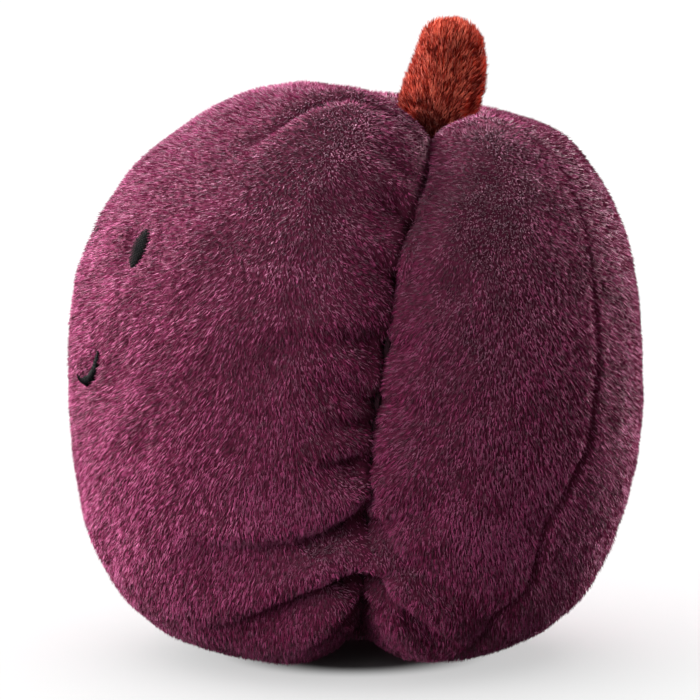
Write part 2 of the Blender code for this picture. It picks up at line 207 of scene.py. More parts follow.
# Face
EYE_AZIMUTH = math.radians(13.4)
EYE_POLAR = math.radians(70.3)
EYE_HALF_WIDTH = 2.2 * MM
EYE_HALF_HEIGHT = 3.2 * MM
EYE_TURN = math.radians(3)
EYE_REACH = 6 * MM
STITCH_JITTER = (0.86, 1.12)
EYE_STITCHES = 27
EYE_STITCH_SINK = 1.1 * MM
EYE_STITCH_LEAST = 0.35 * MM
EYE_STITCH_FIT = 0.97
EYE_THREAD = 0.14 * MM
EYE_CROWN = 0.22
MOUTH_POLAR = math.radians(89.2)
MOUTH_HALF_WIDTH = 5.2 * MM
MOUTH_DROP = 4.6 * MM
MOUTH_LINE_POINTS = 25
MOUTH_STITCHES = 61
MOUTH_STITCH_SINK = 0.72 * MM
MOUTH_STITCH_HALF = 0.82 * MM
MOUTH_END_TAPER = 9.0
MOUTH_THREAD = 0.16 * MM
MOUTH_CROWN = 0.5

# How the stitches of the face draw the skin in, and how it swells between them
EYE_PULL = 0.7 * MM
EYE_PULL_EDGE = 0.9
EYE_PULL_FADE = 0.16
EYE_RIM_SWELL = 0.3 * MM
EYE_RIM = 2.0
EYE_RIM_SPAN = 0.5
MOUTH_PULL = 1.0 * MM
MOUTH_PULL_SPAN = 1.1 * MM
LIP_SWELL = 0.8 * MM
LIP_SWELL_SPAN = 3.2 * MM
LIP_SHARE = 0.2

# Run that blows the skin out: it is done larger than life, because cloth settings suit larger things
CLOTH_SCALE = 10.0
CLOTH_FRAMES = 20
CREASE_HOLD = 1.6
CREASE_HOLD_REACH = 1.0 * MM
RING_HOLD_REACH = 3.0 * MM
BASE_HOLD_HEIGHT = 0.05 * MM
SLACK_DISTANCE = 4.0 * MM
SLACK_SPAN = 6.0 * MM
SLACK_ROUND = 1.4
SLACK_HIGH = 0.35
SLACK_LOW_FROM = 1.2
SLACK_LOW_SPAN = 0.9
WEIGHT_LEAST = 0.001
STUFFING_MOVE = 2.4 * MM

# Pile: its length and width, how its tufts vary in length, and their clumps and shades
PLUM_PILE_LENGTH = 0.92 * MM
PLUM_PILE_WIDTH = 0.100 * MM
STEM_PILE_LENGTH = 1.35 * MM
STEM_PILE_WIDTH = 0.10 * MM
PILE_GROWTH = (0.72, 1.2)
PILE_CLUMP_SCALE = 1500.0
PILE_CLUMP_CONTRAST = 2.7
PILE_SHADES = (0.15, 0.85)
PILE_SHADE_SEED = 77
SHADE_LOWEST = -9.0
PILE_MIDDLE_FROM = 0.3
PILE_LIGHT_FROM = 0.72
PILE_ROUGHNESS = 0.62
PILE_SHEEN_ROUGHNESS = 0.55

# Turn of the nap from straight down, in degrees by azimuth, positive towards lower azimuths
NAP_AZIMUTHS = (0, 28, 42, 54, 64, 75, 75.4, 88, 100, 112, 121, 122, 170, 230, 290, 330, 360)
NAP_TURNS = (42, 38, 20, -4, -18, -26, 40, 36, 24, 6, -4, -24, -20, 0, 20, 38, 42)
NAP_LOW_FROM = 100.0
NAP_LOW_SPAN = 22.0
NAP_LOW_EASE = 0.7
NAP_FLAT = 3.0

# Values that the node trees read from a skin or a line of stitches, and that no finished piece keeps
WORKING_VALUES = ("nap", "pile_height", "tone", "cover", "shade", "skin_normal", "across", "outward", "half")

# How the nap wanders: degrees, spacing in mm and a seed
NAP_WANDER = ((8.0, 12, 21), (7.0, 4, 22))

# The pile's height: the edges of the face's stitches, the crease's valley, the sewn lines
EYE_PILE_EDGE = 0.75
EYE_PILE_RISE = 2.0
MOUTH_PILE_CLEAR = 1.5 * MM
PILE_LEAST = 0.1
VALLEY_PILE_SIDE = 0.85
VALLEY_PILE_FACE = 0.6
VALLEY_PILE_RISE = 0.4
VALLEY_PILE_REACH = 4.0 * MM
SEWN_PILE_SPAN = 0.8 * MM
DART_PILE_DIP = 0.45
SEAM_PILE_DIP = 0.25
STEM_NAP_LEAST = 0.15

# Unevenness of the pile's height and tone: level, spacing in mm and a seed
PILE_UNEVEN = ((0.1, 9, 31),)
TONE_LAYERS = ((0.16, 10, 41), (0.10, 4, 42))
STEM_PILE_UNEVEN = ((0.12, 3, 51),)
STEM_TONE_LAYERS = ((0.12, 4, 52),)
STEM_TONE_RISE = 0.2

# Where light and shade are painted into the pile as lighter or darker tone
LOW_PAINTED_LIGHT = 0.22
LOW_PAINTED_LIGHT_HEIGHT = 24 * MM
LOW_PAINTED_LIGHT_SPAN = 11 * MM
FOLD_PAINTED_SHADOW = 0.75
FOLD_PAINTED_SHADOW_REACH = 1.15
FOLD_PAINTED_SHADOW_ABOVE = 0.9 * MM
FOLD_PAINTED_SHADOW_BELOW = 2.6 * MM
PAINTED_SHADE_LINE_TONE = 0.30
PAINTED_SHADE_LINE_SPAN = 3.0 * MM
RIM_PAINTED_LIGHT = 0.22
RIM_PAINTED_LIGHT_AZIMUTH = math.radians(146.0)
RIM_PAINTED_LIGHT_SPAN = math.radians(17.0)
HIGH_PAINTED_SHADE = 0.34
HIGH_PAINTED_SHADE_HEIGHT = 80 * MM
HIGH_PAINTED_SHADE_SPAN = 15 * MM
HIGH_PAINTED_SHADE_AZIMUTH = math.radians(78.0)
HIGH_PAINTED_SHADE_AZIMUTH_SPAN = math.radians(38.0)

# How thickly the pile is planted in the crease and under the eyes
VALLEY_COVER = 0.3
VALLEY_COVER_RISE = (0.8 * MM, 2.6 * MM)
VALLEY_COVER_SIDE = 0.85
EYE_COVER = 0.1
EYE_COVER_EDGE = 0.8

# Columns of the skin where a panel or a stretch of pile ends, counted from the crease
SIDE_END = SIDE_STEPS * FINENESS
BACK_END = SIDE_END + BACK_STEPS * FINENESS
BACK_MIDDLE = SIDE_END + BACK_STEPS * FINENESS // 2
FRONT_END = BACK_END + FRONT_STEPS * FINENESS
FAR_CHEEK_SHARE = 0.27
FACE_SHARE = 0.56
FAR_CHEEK_END = BACK_END + int(FRONT_STEPS * FINENESS * FAR_CHEEK_SHARE)
FACE_END = BACK_END + int(FRONT_STEPS * FINENESS * FACE_SHARE)

# Stretches of pile from the crease round the back: name, panel, tufts to the square mm and a seed
PILES = (
    ("side_pile", "side_panel", 9.6, 11),
    ("back_pile_near", "back_panel", 5.9, 12),
    ("back_pile_far", "back_panel", 4.8, 13),
    ("front_pile_far_cheek", "front_panel", 5.6, 14),
    ("front_pile_face", "front_panel", 9.0, 15),
    ("front_pile_cheek", "front_panel", 9.6, 16),
)
SKINS = (("side_skin", "side_panel"), ("back_skin", "back_panel"), ("front_skin", "front_panel"))

# Pile shades: name, colour and how strongly the sheen shows
PLUM_SHADES = (
    ("plum_pile_dark", (0.056, 0.0032, 0.0165), 0.27),
    ("plum_pile_middle", (0.120, 0.0086, 0.0410), 0.34),
    ("plum_pile_light", (0.216, 0.0310, 0.0950), 0.42),
)
PLUM_TINT = (1.0, 0.72, 0.86)
RUST_SHADES = (
    ("rust_pile_dark", (0.085, 0.004, 0.0020), 0.06),
    ("rust_pile_middle", (0.235, 0.018, 0.0085), 0.14),
    ("rust_pile_light", (0.48, 0.090, 0.050), 0.24),
)
RUST_TINT = (1.0, 0.82, 0.74)

# Cloths and threads: name, dark and light colour, scale of the grain, strength and depth of the
# relief, roughness, and for threads the scale of their winding and the gloss
# The plum backing is dark plum, darker than the pile: partly its own colour, partly painted shade between the
# tufts
PLUM_BACKING = ("plum_backing", (0.034, 0.0022, 0.0100), (0.085, 0.0070, 0.0290), 1400.0, 0.4, 0.4 * MM, 0.95)
RUST_BACKING = ("rust_backing", (0.06, 0.004, 0.002), (0.16, 0.012, 0.006), 1400.0, 0.4, 0.4 * MM, 0.95)
WADDING = ("wadding_fibre", (0.62, 0.61, 0.58), (0.85, 0.84, 0.81), 700.0, 0.9, 1.0 * MM, 0.95)
BLACK_THREAD = ("black_satin_thread", (0.0008, 0.0007, 0.0008), (0.0080, 0.0068, 0.0076), 2600.0, 0.5,
                0.2 * MM, 0.6, 900.0, 0.015)
# The sewing thread is plum kept near black: partly its own colour, partly painted shade so the crease thread
# reads as the crease's shadow
SEWING_THREAD = ("plum_sewing_thread", (0.012, 0.0010, 0.0040), (0.050, 0.0060, 0.0190), 900.0, 0.6,
                 0.3 * MM, 0.8, 700.0)

# Studio: the floor in metres, a shadow painted as a dark spot in its middle, and the room's light by height
FLOOR_SIZE = 7.0
FLOOR_GREY = 0.45
FLOOR_GLOW = 0.54
PAINTED_SHADOW_DARK_TO = 12 * MM
PAINTED_SHADOW_LIT_FROM = 22 * MM
WHITE = (1.0, 1.0, 1.0, 1.0)
ROOM_DIM_BELOW = -0.45
ROOM_BRIGHT_ABOVE = 0.15
ROOM_DIM = 0.06
ROOM_BRIGHT = 0.38

# Camera: the photograph's own angle, its width in pixels, its focal length in them, the size of one
# in mm at the toy, and how many of them the toy stands off the middle
CAMERA_AZIMUTH = math.radians(69.5)
CAMERA_ELEVATION = math.radians(8.0)
CAMERA_AIM_HEIGHT = 49.5 * MM
CAMERA_DISTANCE = 0.95
SENSOR_WIDTH = 36.0
PICTURE_PIXELS = 700.0
FOCAL_PIXELS = 6129.0
PIXEL = 0.155
SHIFT_RIGHT = 5.0
SHIFT_UP = 12.5

# Softboxes: name, turn from the camera and rise in degrees, distance and width in metres, power in watts
SOFTBOXES = (
    ("left_box", -112.0, 27.0, 1.6, 0.8, 230.0),
    ("right_box", 141.0, 20.0, 1.6, 1.2, 290.0),
    ("front_box", -36.0, 16.0, 1.6, 0.9, 34.0),
)
WASH_POWER = 3.3
WASH_ANGLE = math.radians(150.0)
WASH_FROM_RIGHT = -0.95
WASH_FROM_NEAR = -0.10


def ball_directions(polar, azimuth):
    """Return unit directions from the ball's centre; the crown end leans back."""
    lean = CROWN_LEAN * (0.5 + 0.5 * np.cos(polar))
    x = np.sin(polar) * np.sin(azimuth)
    y = -np.sin(polar) * np.cos(azimuth)
    z = np.cos(polar)
    return np.stack((x, y * np.cos(lean) + z * np.sin(lean), z * np.cos(lean) - y * np.sin(lean)), -1)


def ball_radii(direction):
    """Return the smooth ball's radius in each direction."""
    blend = np.clip(0.5 + direction[..., 2], 0.0, 1.0)
    power = SQUARENESS_BASE + (SQUARENESS_TOP - SQUARENESS_BASE) * blend
    across = np.hypot(direction[..., 0] / HALF_WIDTH, direction[..., 1] / HALF_DEPTH)
    upward = np.abs(direction[..., 2]) / HALF_HEIGHT
    return (across ** power + upward ** power) ** (-1.0 / power)


def lip(distance, reach):
    """Return 1 at a cleft's valley and 0 past its reach, with a rounded lip between."""
    inward = np.clip(1.0 - distance / reach, 0.0, 1.0)
    return 1.0 - np.sqrt(1.0 - inward * inward)


def crease_azimuth(polar):
    """Return the azimuth of the crease's valley."""
    return (CREASE_AZIMUTH + CREASE_BOW * np.sin(polar)
            - CREASE_DRIFT * hill(polar, CREASE_DRIFT_POLAR, CREASE_DRIFT_SPAN))


def stepped(value, start, end):
    """Return 0 before a start, 1 after an end, and an even rise between them."""
    share = np.clip((value - start) / (end - start), 0.0, 1.0)
    return share * share * (3.0 - 2.0 * share)


def hill(value, middle, span):
    """Return 1 at the middle, falling away smoothly on both sides over a span."""
    return np.exp(-((value - middle) / span) ** 2)


def crease_reach(polar, across):
    """Return how far the crease's lips reach: tight on the side panel, rounder on the face's lobe."""
    plain = CREASE_REACH_BASE + (CREASE_REACH_TOP - CREASE_REACH_BASE) * (0.5 + 0.5 * np.cos(polar))
    middle = stepped(polar, *CREASE_TIGHT_FROM) * (1.0 - stepped(polar, *CREASE_TIGHT_UNTIL))
    low = stepped(polar, *CREASE_LOW)
    tighter = np.where(across > 0.0, CREASE_TIGHTER_SIDE, CREASE_TIGHTER_FACE)
    return plain * (1.0 - tighter * middle + CREASE_WIDER_LOW * low)


def back_seam(polar):
    """Return the azimuth of the seam between the side and back panels."""
    line = np.radians(np.array(BACK_SEAM))
    return np.interp(polar, line[:, 0], line[:, 1])


def turn_between(azimuth, other):
    """Return the signed angle between two azimuths, within half a turn."""
    return (azimuth - other + math.pi) % (2.0 * math.pi) - math.pi


def plush_surface(polar, azimuth, sink=0.0):
    """Return points of the plush surface, or of one that lies a little inside it."""
    direction = ball_directions(polar, azimuth)
    radius = ball_radii(direction)
    level = radius * np.sin(polar)
    across = level * turn_between(azimuth, crease_azimuth(polar))
    crease = CREASE_DEPTH * lip(np.abs(across), crease_reach(polar, across))
    crown = CROWN_DEPTH * lip(np.maximum(0.0, radius * polar - CROWN_RING), CROWN_REACH)
    base = BASE_DEPTH * lip(np.maximum(0.0, radius * (math.pi - polar) - BASE_RING), BASE_REACH)
    deepest = (crease ** 4 + crown ** 4 + base ** 4) ** 0.25
    groove = 0.0
    seams = SEAM_SHOW_TOP + (1.0 - SEAM_SHOW_TOP) * stepped(polar, *SEAM_SHOW_RISE)
    for seam in (back_seam(polar), FAR_SEAM_AZIMUTH):
        groove = groove + SEAM_DEPTH * lip(level * np.abs(turn_between(azimuth, seam)), SEAM_REACH)
    depth = deepest + seams * groove * (1.0 - np.minimum(1.0, deepest / CREASE_DEPTH))
    downward = (np.maximum(0.0, np.cos(polar)) ** 2)[..., None]
    inward = direction * (1.0 - downward) + np.array((0.0, 0.0, 1.0)) * downward
    inward = inward / np.linalg.norm(inward, axis=-1, keepdims=True)
    waist = hill(polar, WAIST_POLAR, WAIST_SPAN)
    behind = hill(turn_between(azimuth, BACK_TUCK_AZIMUTH), 0.0, BACK_TUCK_SPAN)
    lobe = hill(turn_between(azimuth, BACK_LOBE_AZIMUTH), 0.0, BACK_LOBE_SPAN)
    depth = depth - SHOULDER_RISE * hill(polar, SHOULDER_POLAR, SHOULDER_SPAN)
    depth = depth + WAIST_DEPTH * waist
    depth = depth + BACK_TUCK_DEPTH * behind * waist
    depth = depth + BACK_LOBE_SLIM * lobe * hill(polar, BACK_LOBE_SLIM_POLAR, BACK_LOBE_SLIM_SPAN)
    depth = depth - BACK_LOBE_RISE * lobe * hill(polar, BACK_LOBE_RISE_POLAR, BACK_LOBE_RISE_SPAN)
    centre = np.array((0.0, 0.0, HALF_HEIGHT - FLAT_SPOT_SINK))
    points = centre + direction * radius[..., None] - inward * (depth + sink)[..., None]
    points[..., 1] += BACKWARD_SHIFT * np.maximum(0.0, direction[..., 2])
    points[..., 2] = np.maximum(points[..., 2], sink)
    return points


def eased(share, crowding):
    """Return shares of a span, crowded towards its start."""
    return share - crowding * np.sin(math.pi * share) / math.pi


def skin_angles(fineness):
    """Return the polar and azimuth grids of the skin; columns run crease, side, back, front, crease."""
    span = np.linspace(SKIN_TOP, SKIN_BOTTOM, ROW_SAMPLES)
    weight = 1.0 + PLEAT_BAND_CROWDING * hill(span, PLEAT_BAND, PLEAT_BAND_SPAN)
    ranked = np.concatenate(((0.0,), np.cumsum(0.5 * (weight[1:] + weight[:-1]))))
    polar = np.interp(np.linspace(0.0, ranked[-1], (SKIN_ROWS - 1) * fineness + 1), ranked, span)
    valley = crease_azimuth(polar)[:, None]
    back = back_seam(polar)[:, None]
    far = np.full_like(valley, FAR_SEAM_AZIMUTH + 2.0 * math.pi)
    side_share = eased(np.linspace(0.0, 1.0, SIDE_STEPS * fineness + 1), CREASE_CROWDING)[None, :]
    back_share = np.linspace(0.0, 1.0, BACK_STEPS * fineness + 1)[None, :]
    front_share = 1.0 - eased(np.linspace(1.0, 0.0, FRONT_STEPS * fineness + 1), CREASE_CROWDING)[None, :]
    side = valley + (back - valley) * side_share
    rear = back + (far - back) * back_share
    face = far + (valley + 2.0 * math.pi - far) * front_share
    azimuth = np.concatenate((side[:, :-1], rear[:, :-1], face), axis=1)
    return np.repeat(polar[:, None], azimuth.shape[1], axis=1), azimuth


def grid_normals(points):
    """Return outward unit normals of a grid of points whose last column repeats its first."""
    along = np.empty_like(points)
    along[:, 1:-1] = points[:, 2:] - points[:, :-2]
    along[:, 0] = points[:, 1] - points[:, -2]
    along[:, -1] = along[:, 0]
    down = np.gradient(points, axis=0)
    normal = np.cross(down, along)
    return normal / np.maximum(1e-12, np.linalg.norm(normal, axis=-1, keepdims=True))


def smooth_line(angles, steps=10):
    """Return a dense run of polar and azimuth angles, in radians, through a few in degrees."""
    knots = np.radians(np.array(angles, float))
    ends = np.vstack((2 * knots[0] - knots[1], knots, 2 * knots[-1] - knots[-2]))
    run = []
    for index in range(len(knots) - 1):
        before, start, end, after = ends[index:index + 4]
        for share in np.arange(steps) / steps:
            run.append(0.5 * (2 * start + (end - before) * share
                              + (2 * before - 5 * start + 4 * end - after) * share ** 2
                              + (3 * start - before - 3 * end + after) * share ** 3))
    run.append(knots[-1])
    return np.array(run)


def from_places(points, line):
    """Return each point's distance from a run of places, its share along them and its rise above them."""
    flat = points.reshape(-1, 3)
    best = np.full(len(flat), 1.0)
    share = np.zeros(len(flat))
    rise = np.zeros(len(flat))
    for index in range(len(line) - 1):
        start, step = line[index], line[index + 1] - line[index]
        along = np.clip(((flat - start) @ step) / (step @ step), 0.0, 1.0)
        gap = flat - start - along[:, None] * step
        distance = np.linalg.norm(gap, axis=1)
        nearer = distance < best
        best[nearer] = distance[nearer]
        share[nearer] = (index + along[nearer]) / (len(line) - 1)
        rise[nearer] = gap[nearer, 2]
    shape = points.shape[:-1]
    return best.reshape(shape), share.reshape(shape), rise.reshape(shape)


def beside_line(points, angles):
    """Return each point's distance from a line on the skin, its share along it and its rise above it."""
    run = smooth_line(angles)
    return from_places(points, plush_surface(run[:, 0], run[:, 1], SKIN_INSET))


def pleat_depth(points):
    """Return how deep the pleats and the dart draw the skin in."""
    depth = np.zeros(points.shape[:-1])
    for line, deepest, tuck, above, swell in PLEATS:
        distance, share, rise = beside_line(points, line)
        fade = np.clip(1.0 - share, 0.0, 1.0) ** PLEAT_FADE
        width = np.where(rise > 0.0, above, tuck) * MM * (PLEAT_WIDTH_START + PLEAT_WIDTH_GROWTH * share)
        depth += deepest * MM * fade * hill(distance, 0.0, width)
        crest = np.where(rise > 0.0, distance - PLEAT_CREST, 1.0)
        depth -= swell * MM * fade * hill(crest, 0.0, PLEAT_CREST_SPAN)
    distance, share, _ = beside_line(points, DART)
    fade = np.clip(DART_REACH - DART_REACH * share, 0.0, 1.0)
    depth += DART_DEPTH * fade * hill(distance, 0.0, DART_SPAN)
    depth -= DART_SWELL * fade * hill(distance, DART_CREST, DART_CREST_SPAN)
    return depth


def face_axes(polar, azimuth):
    """Return a place on the face and the surface's rightward, upward and outward directions there."""
    step = math.radians(1.0)
    around = np.array((polar, polar, polar - step, polar + step, polar)), np.array(
        (azimuth - step, azimuth + step, azimuth, azimuth, azimuth))
    left, right, top, bottom, spot = plush_surface(around[0], around[1])
    outward = Vector(np.cross(right - left, top - bottom)).normalized()
    upward = Vector(top - bottom)
    upward = (upward - outward * upward.dot(outward)).normalized()
    return Vector(spot), upward.cross(outward), upward, outward


def eye_offset(points, side):
    """Return how far points lie from an eye's middle, as a share of its oval."""
    spot, right, upward, outward = face_axes(EYE_POLAR, side * EYE_AZIMUTH)
    turn = -side * EYE_TURN
    gap = points - np.array(spot)
    across = gap @ np.array(right)
    up = gap @ np.array(upward)
    along = up * math.cos(turn) - across * math.sin(turn)
    aside = across * math.cos(turn) + up * math.sin(turn)
    depth = gap @ np.array(outward)
    return np.sqrt((aside / EYE_HALF_WIDTH) ** 2 + (along / EYE_HALF_HEIGHT) ** 2 + (depth / EYE_REACH) ** 2)


def mouth_angles(steps):
    """Return the smile's centre line as polar and azimuth angles."""
    angle = np.linspace(0.0, math.pi, steps)
    polar = MOUTH_POLAR + MOUTH_DROP * np.sin(angle) / HALF_DEPTH
    azimuth = -MOUTH_HALF_WIDTH * np.cos(angle) / HALF_DEPTH
    return polar, azimuth


def mouth_offset(points):
    """Return how far points lie from the smile's line."""
    polar, azimuth = mouth_angles(MOUTH_LINE_POINTS)
    return from_places(points, plush_surface(polar, azimuth, SKIN_INSET))[0]


def face_depth(points):
    """Return how deep the stitches of the face draw the skin in."""
    depth = np.zeros(points.shape[:-1])
    for side in (-1.0, 1.0):
        share = eye_offset(points, side)
        depth += EYE_PULL * np.exp(-np.maximum(0.0, share - EYE_PULL_EDGE) ** 2 / EYE_PULL_FADE)
        depth -= EYE_RIM_SWELL * hill(share, EYE_RIM, EYE_RIM_SPAN)
    depth += MOUTH_PULL * hill(mouth_offset(points), 0.0, MOUTH_PULL_SPAN)
    lip_polar = MOUTH_POLAR + LIP_SHARE * MOUTH_DROP / HALF_DEPTH
    spot = plush_surface(np.array([lip_polar]), np.array([0.0]), SKIN_INSET)[0]
    depth -= LIP_SWELL * hill(np.linalg.norm(points - spot, axis=-1), 0.0, LIP_SWELL_SPAN)
    return depth


def soft_noise(points, scale, seed):
    """Return smooth noise from about -1 to 1, the same each run, at a spacing of scale metres."""
    rng = np.random.default_rng(seed)
    total = np.zeros(points.shape[:-1])
    for _ in range(NOISE_WAVES):
        way = rng.normal(size=3)
        way /= np.linalg.norm(way)
        turn = rng.uniform(0.0, 2.0 * math.pi)
        total += np.sin(points @ (way * 2.0 * math.pi / (scale * rng.uniform(*NOISE_SPREAD))) + turn)
    return total / math.sqrt(NOISE_WAVES / 2.0) / NOISE_LEVEL


def mottle(points, layers):
    """Return the sum of layers of smooth noise, each a level, a spacing in mm and a seed."""
    return sum(level * soft_noise(points, spacing * MM, seed) for level, spacing, seed in layers)


def grid_faces(rows, columns):
    """Return the quads of a grid, facing outwards."""
    top = np.arange(rows - 1)[:, None] * columns + np.arange(columns - 1)[None, :]
    corners = np.stack((top, top + columns, top + columns + 1, top + 1), -1)
    return corners.reshape(-1, 4)


def mesh_object(name, points, faces):
    """Return a new object from points and faces."""
    mesh = bpy.data.meshes.new(name)
    mesh.from_pydata(points.reshape(-1, 3).tolist(), [], faces.tolist())
    mesh.update()
    thing = bpy.data.objects.new(name, mesh)
    bpy.context.scene.collection.objects.link(thing)
    return thing


def stuffed(points, polar, azimuth):
    """Return how far the stuffing blows the skin out: a cloth run with the crease and the rings held."""
    rows, columns = points.shape[0], points.shape[1] - 1
    faces = grid_faces(rows, columns + 1)
    faces = np.where(faces % (columns + 1) == columns, faces - columns, faces)
    renumber = np.arange(rows * (columns + 1)).reshape(rows, -1)[:, :-1]
    lookup = np.full(rows * (columns + 1), -1)
    lookup[renumber.ravel()] = np.arange(rows * columns)
    cloth_skin = mesh_object("stuffing_run", points[:, :-1] * CLOTH_SCALE, lookup[faces])
    radius = ball_radii(ball_directions(polar, azimuth))
    across = np.abs(radius * np.sin(polar) * turn_between(azimuth, crease_azimuth(polar)))[:, :-1]
    crown = (radius * polar)[:, :-1]
    base = (radius * (math.pi - polar))[:, :-1]
    held = np.clip(CREASE_HOLD - across / CREASE_HOLD_REACH, 0.0, 1.0)
    held = np.maximum(held, np.clip(1.0 - (crown - CROWN_RING) / RING_HOLD_REACH, 0.0, 1.0))
    held = np.maximum(held, np.clip(1.0 - (base - BASE_RING) / RING_HOLD_REACH, 0.0, 1.0))
    held = np.maximum(held, np.where(points[:, :-1, 2] < SKIN_INSET + BASE_HOLD_HEIGHT, 1.0, 0.0))
    slack = hill(across, SLACK_DISTANCE, SLACK_SPAN) * np.clip(np.sin(polar[:, :-1]) * SLACK_ROUND, 0.0, 1.0)
    low = np.clip((polar[:, :-1] - SLACK_LOW_FROM) / SLACK_LOW_SPAN, 0.0, 1.0)
    slack *= SLACK_HIGH + (1.0 - SLACK_HIGH) * low
    for label, weights in (("held", held), ("slack", slack)):
        group = cloth_skin.vertex_groups.new(name=label)
        for index, weight in enumerate(weights.ravel()):
            if weight > WEIGHT_LEAST:
                group.add([index], float(weight), "REPLACE")
    cloth = cloth_skin.modifiers.new("Stuffing", "CLOTH")
    settings = cloth.settings
    settings.quality = 6
    settings.mass = 0.05
    settings.use_pressure = True
    settings.uniform_pressure_force = 4.0
    settings.effector_weights.gravity = 0.0
    settings.vertex_group_mass = "held"
    settings.vertex_group_shrink = "slack"
    settings.shrink_min = 0.0
    settings.shrink_max = -0.16
    settings.tension_stiffness = 12.0
    settings.compression_stiffness = 12.0
    settings.shear_stiffness = 6.0
    settings.bending_stiffness = 0.4
    settings.air_damping = 3.0
    cloth.collision_settings.use_collision = False
    cloth.point_cache.frame_start = 1
    cloth.point_cache.frame_end = CLOTH_FRAMES
    scene = bpy.context.scene
    for moment in range(1, CLOTH_FRAMES + 1):
        scene.frame_set(moment)
    evaluated = cloth_skin.evaluated_get(bpy.context.evaluated_depsgraph_get())
    moved = np.empty(rows * columns * 3)
    evaluated.data.vertices.foreach_get("co", moved)
    scene.frame_set(1)
    bpy.data.objects.remove(cloth_skin, do_unlink=True)
    move = moved.reshape(rows, columns, 3) / CLOTH_SCALE - points[:, :-1]
    reach = np.linalg.norm(move, axis=-1, keepdims=True)
    move *= STUFFING_MOVE * np.tanh(reach / STUFFING_MOVE) / np.maximum(reach, 1e-9)
    return np.concatenate((move, move[:, :1]), axis=1)


def refined(values):
    """Return a grid of values at twice the fineness, smoothly; its columns close into a ring."""
    def between(grid):
        """Return the values midway between neighbours, on a smooth curve through four of them."""
        before, after = np.roll(grid, 1, 0), np.roll(grid, -1, 0)
        later = np.roll(grid, -2, 0)
        return (9.0 * (grid + after) - before - later) / 16.0

    ring = np.moveaxis(values[:, :-1], 1, 0)
    woven = np.empty((ring.shape[0] * 2,) + ring.shape[1:])
    woven[0::2] = ring
    woven[1::2] = between(ring)
    woven = np.moveaxis(woven, 0, 1)
    padded = np.concatenate((2 * woven[:1] - woven[1:2], woven, 2 * woven[-1:] - woven[-2:-1]), axis=0)
    middles = between(padded)[1:-2]
    out = np.empty((woven.shape[0] * 2 - 1,) + woven.shape[1:])
    out[0::2] = woven
    out[1::2] = middles
    return np.concatenate((out, out[:, :1]), axis=1)


def skin_grid():
    """Return the finished skin's points, with its angles, by stuffing first and then sewing the pleats."""
    polar, azimuth = skin_angles(FINENESS)
    points = plush_surface(polar, azimuth, SKIN_INSET)
    depth = pleat_depth(points) + face_depth(points)
    coarse_polar, coarse_azimuth = skin_angles(1)
    coarse = plush_surface(coarse_polar, coarse_azimuth, SKIN_INSET)
    points = points + refined(stuffed(coarse, coarse_polar, coarse_azimuth))
    normals = grid_normals(points)
    depth += mottle(points, SKIN_WAVES) * MM
    free = np.clip(np.abs(turn_between(azimuth, crease_azimuth(polar))) * VALLEY_FREEDOM, 0.0, 1.0)
    points = points - normals * (depth * (VALLEY_SHARE + (1.0 - VALLEY_SHARE) * free))[..., None]
    points[..., 2] = np.maximum(points[..., 2], SKIN_LOWEST)
    return polar, azimuth, points


def nap(polar, azimuth, points, normals):
    """Return the way the pile lies at each point, as unit vectors along the skin."""
    down = np.array((0.0, 0.0, -1.0)) - normals * (-normals[..., 2:3])
    size = np.linalg.norm(down, axis=-1, keepdims=True)
    sideways = np.cross(normals, np.array((0.0, 0.0, 1.0)))
    steep = np.clip(size * NAP_FLAT, 0.0, 1.0)
    away = points * np.array((1.0, 1.0, 0.0))
    away = away / np.maximum(1e-9, np.linalg.norm(away, axis=-1, keepdims=True))
    away = away * np.where(normals[..., 2:3] > 0.0, 1.0, -1.0)
    down = down / np.maximum(size, 1e-6) * steep + away * (1.0 - steep)
    sideways = sideways / np.maximum(1e-9, np.linalg.norm(sideways, axis=-1, keepdims=True))
    turn = np.interp(np.degrees(azimuth) % 360.0, NAP_AZIMUTHS, NAP_TURNS)
    lower = np.clip((np.degrees(polar) - NAP_LOW_FROM) / NAP_LOW_SPAN, 0.0, 1.0)
    turn = np.radians(turn * (1.0 - NAP_LOW_EASE * lower) + mottle(points, NAP_WANDER))
    return down * np.cos(turn)[..., None] + sideways * np.sin(turn)[..., None]


def set_vector(mesh, name, values):
    """Store one vector for each of a mesh's points."""
    layer = mesh.attributes.new(name, "FLOAT_VECTOR", "POINT")
    layer.data.foreach_set("vector", np.ascontiguousarray(values, dtype=np.float32).ravel())


def set_number(mesh, name, values):
    """Store one number for each of a mesh's points."""
    layer = mesh.attributes.new(name, "FLOAT", "POINT")
    layer.data.foreach_set("value", np.ascontiguousarray(values, dtype=np.float32).ravel())


def start_tree(name, inputs):
    """Return a new node tree with named inputs, and its first and last nodes."""
    tree = bpy.data.node_groups.new(name, "GeometryNodeTree")
    tree.interface.new_socket(name="Geometry", in_out="INPUT", socket_type="NodeSocketGeometry")
    for label, kind in inputs:
        tree.interface.new_socket(name=label, in_out="INPUT", socket_type=kind)
    tree.interface.new_socket(name="Geometry", in_out="OUTPUT", socket_type="NodeSocketGeometry")
    return tree, tree.nodes.new("NodeGroupInput"), tree.nodes.new("NodeGroupOutput")


def add_node(tree, kind, values=None, **settings):
    """Return a new node with its settings made and its inputs linked or set."""
    made = tree.nodes.new(kind)
    for key, value in settings.items():
        setattr(made, key, value)
    for key, value in (values or {}).items():
        if isinstance(value, bpy.types.NodeSocket):
            tree.links.new(value, made.inputs[key])
        else:
            made.inputs[key].default_value = value
    return made


def named_value(tree, name, kind):
    """Return the output of a node that reads a value kept on the mesh."""
    made = add_node(tree, "GeometryNodeInputNamedAttribute", {"Name": name}, data_type=kind)
    return made.outputs["Attribute"]


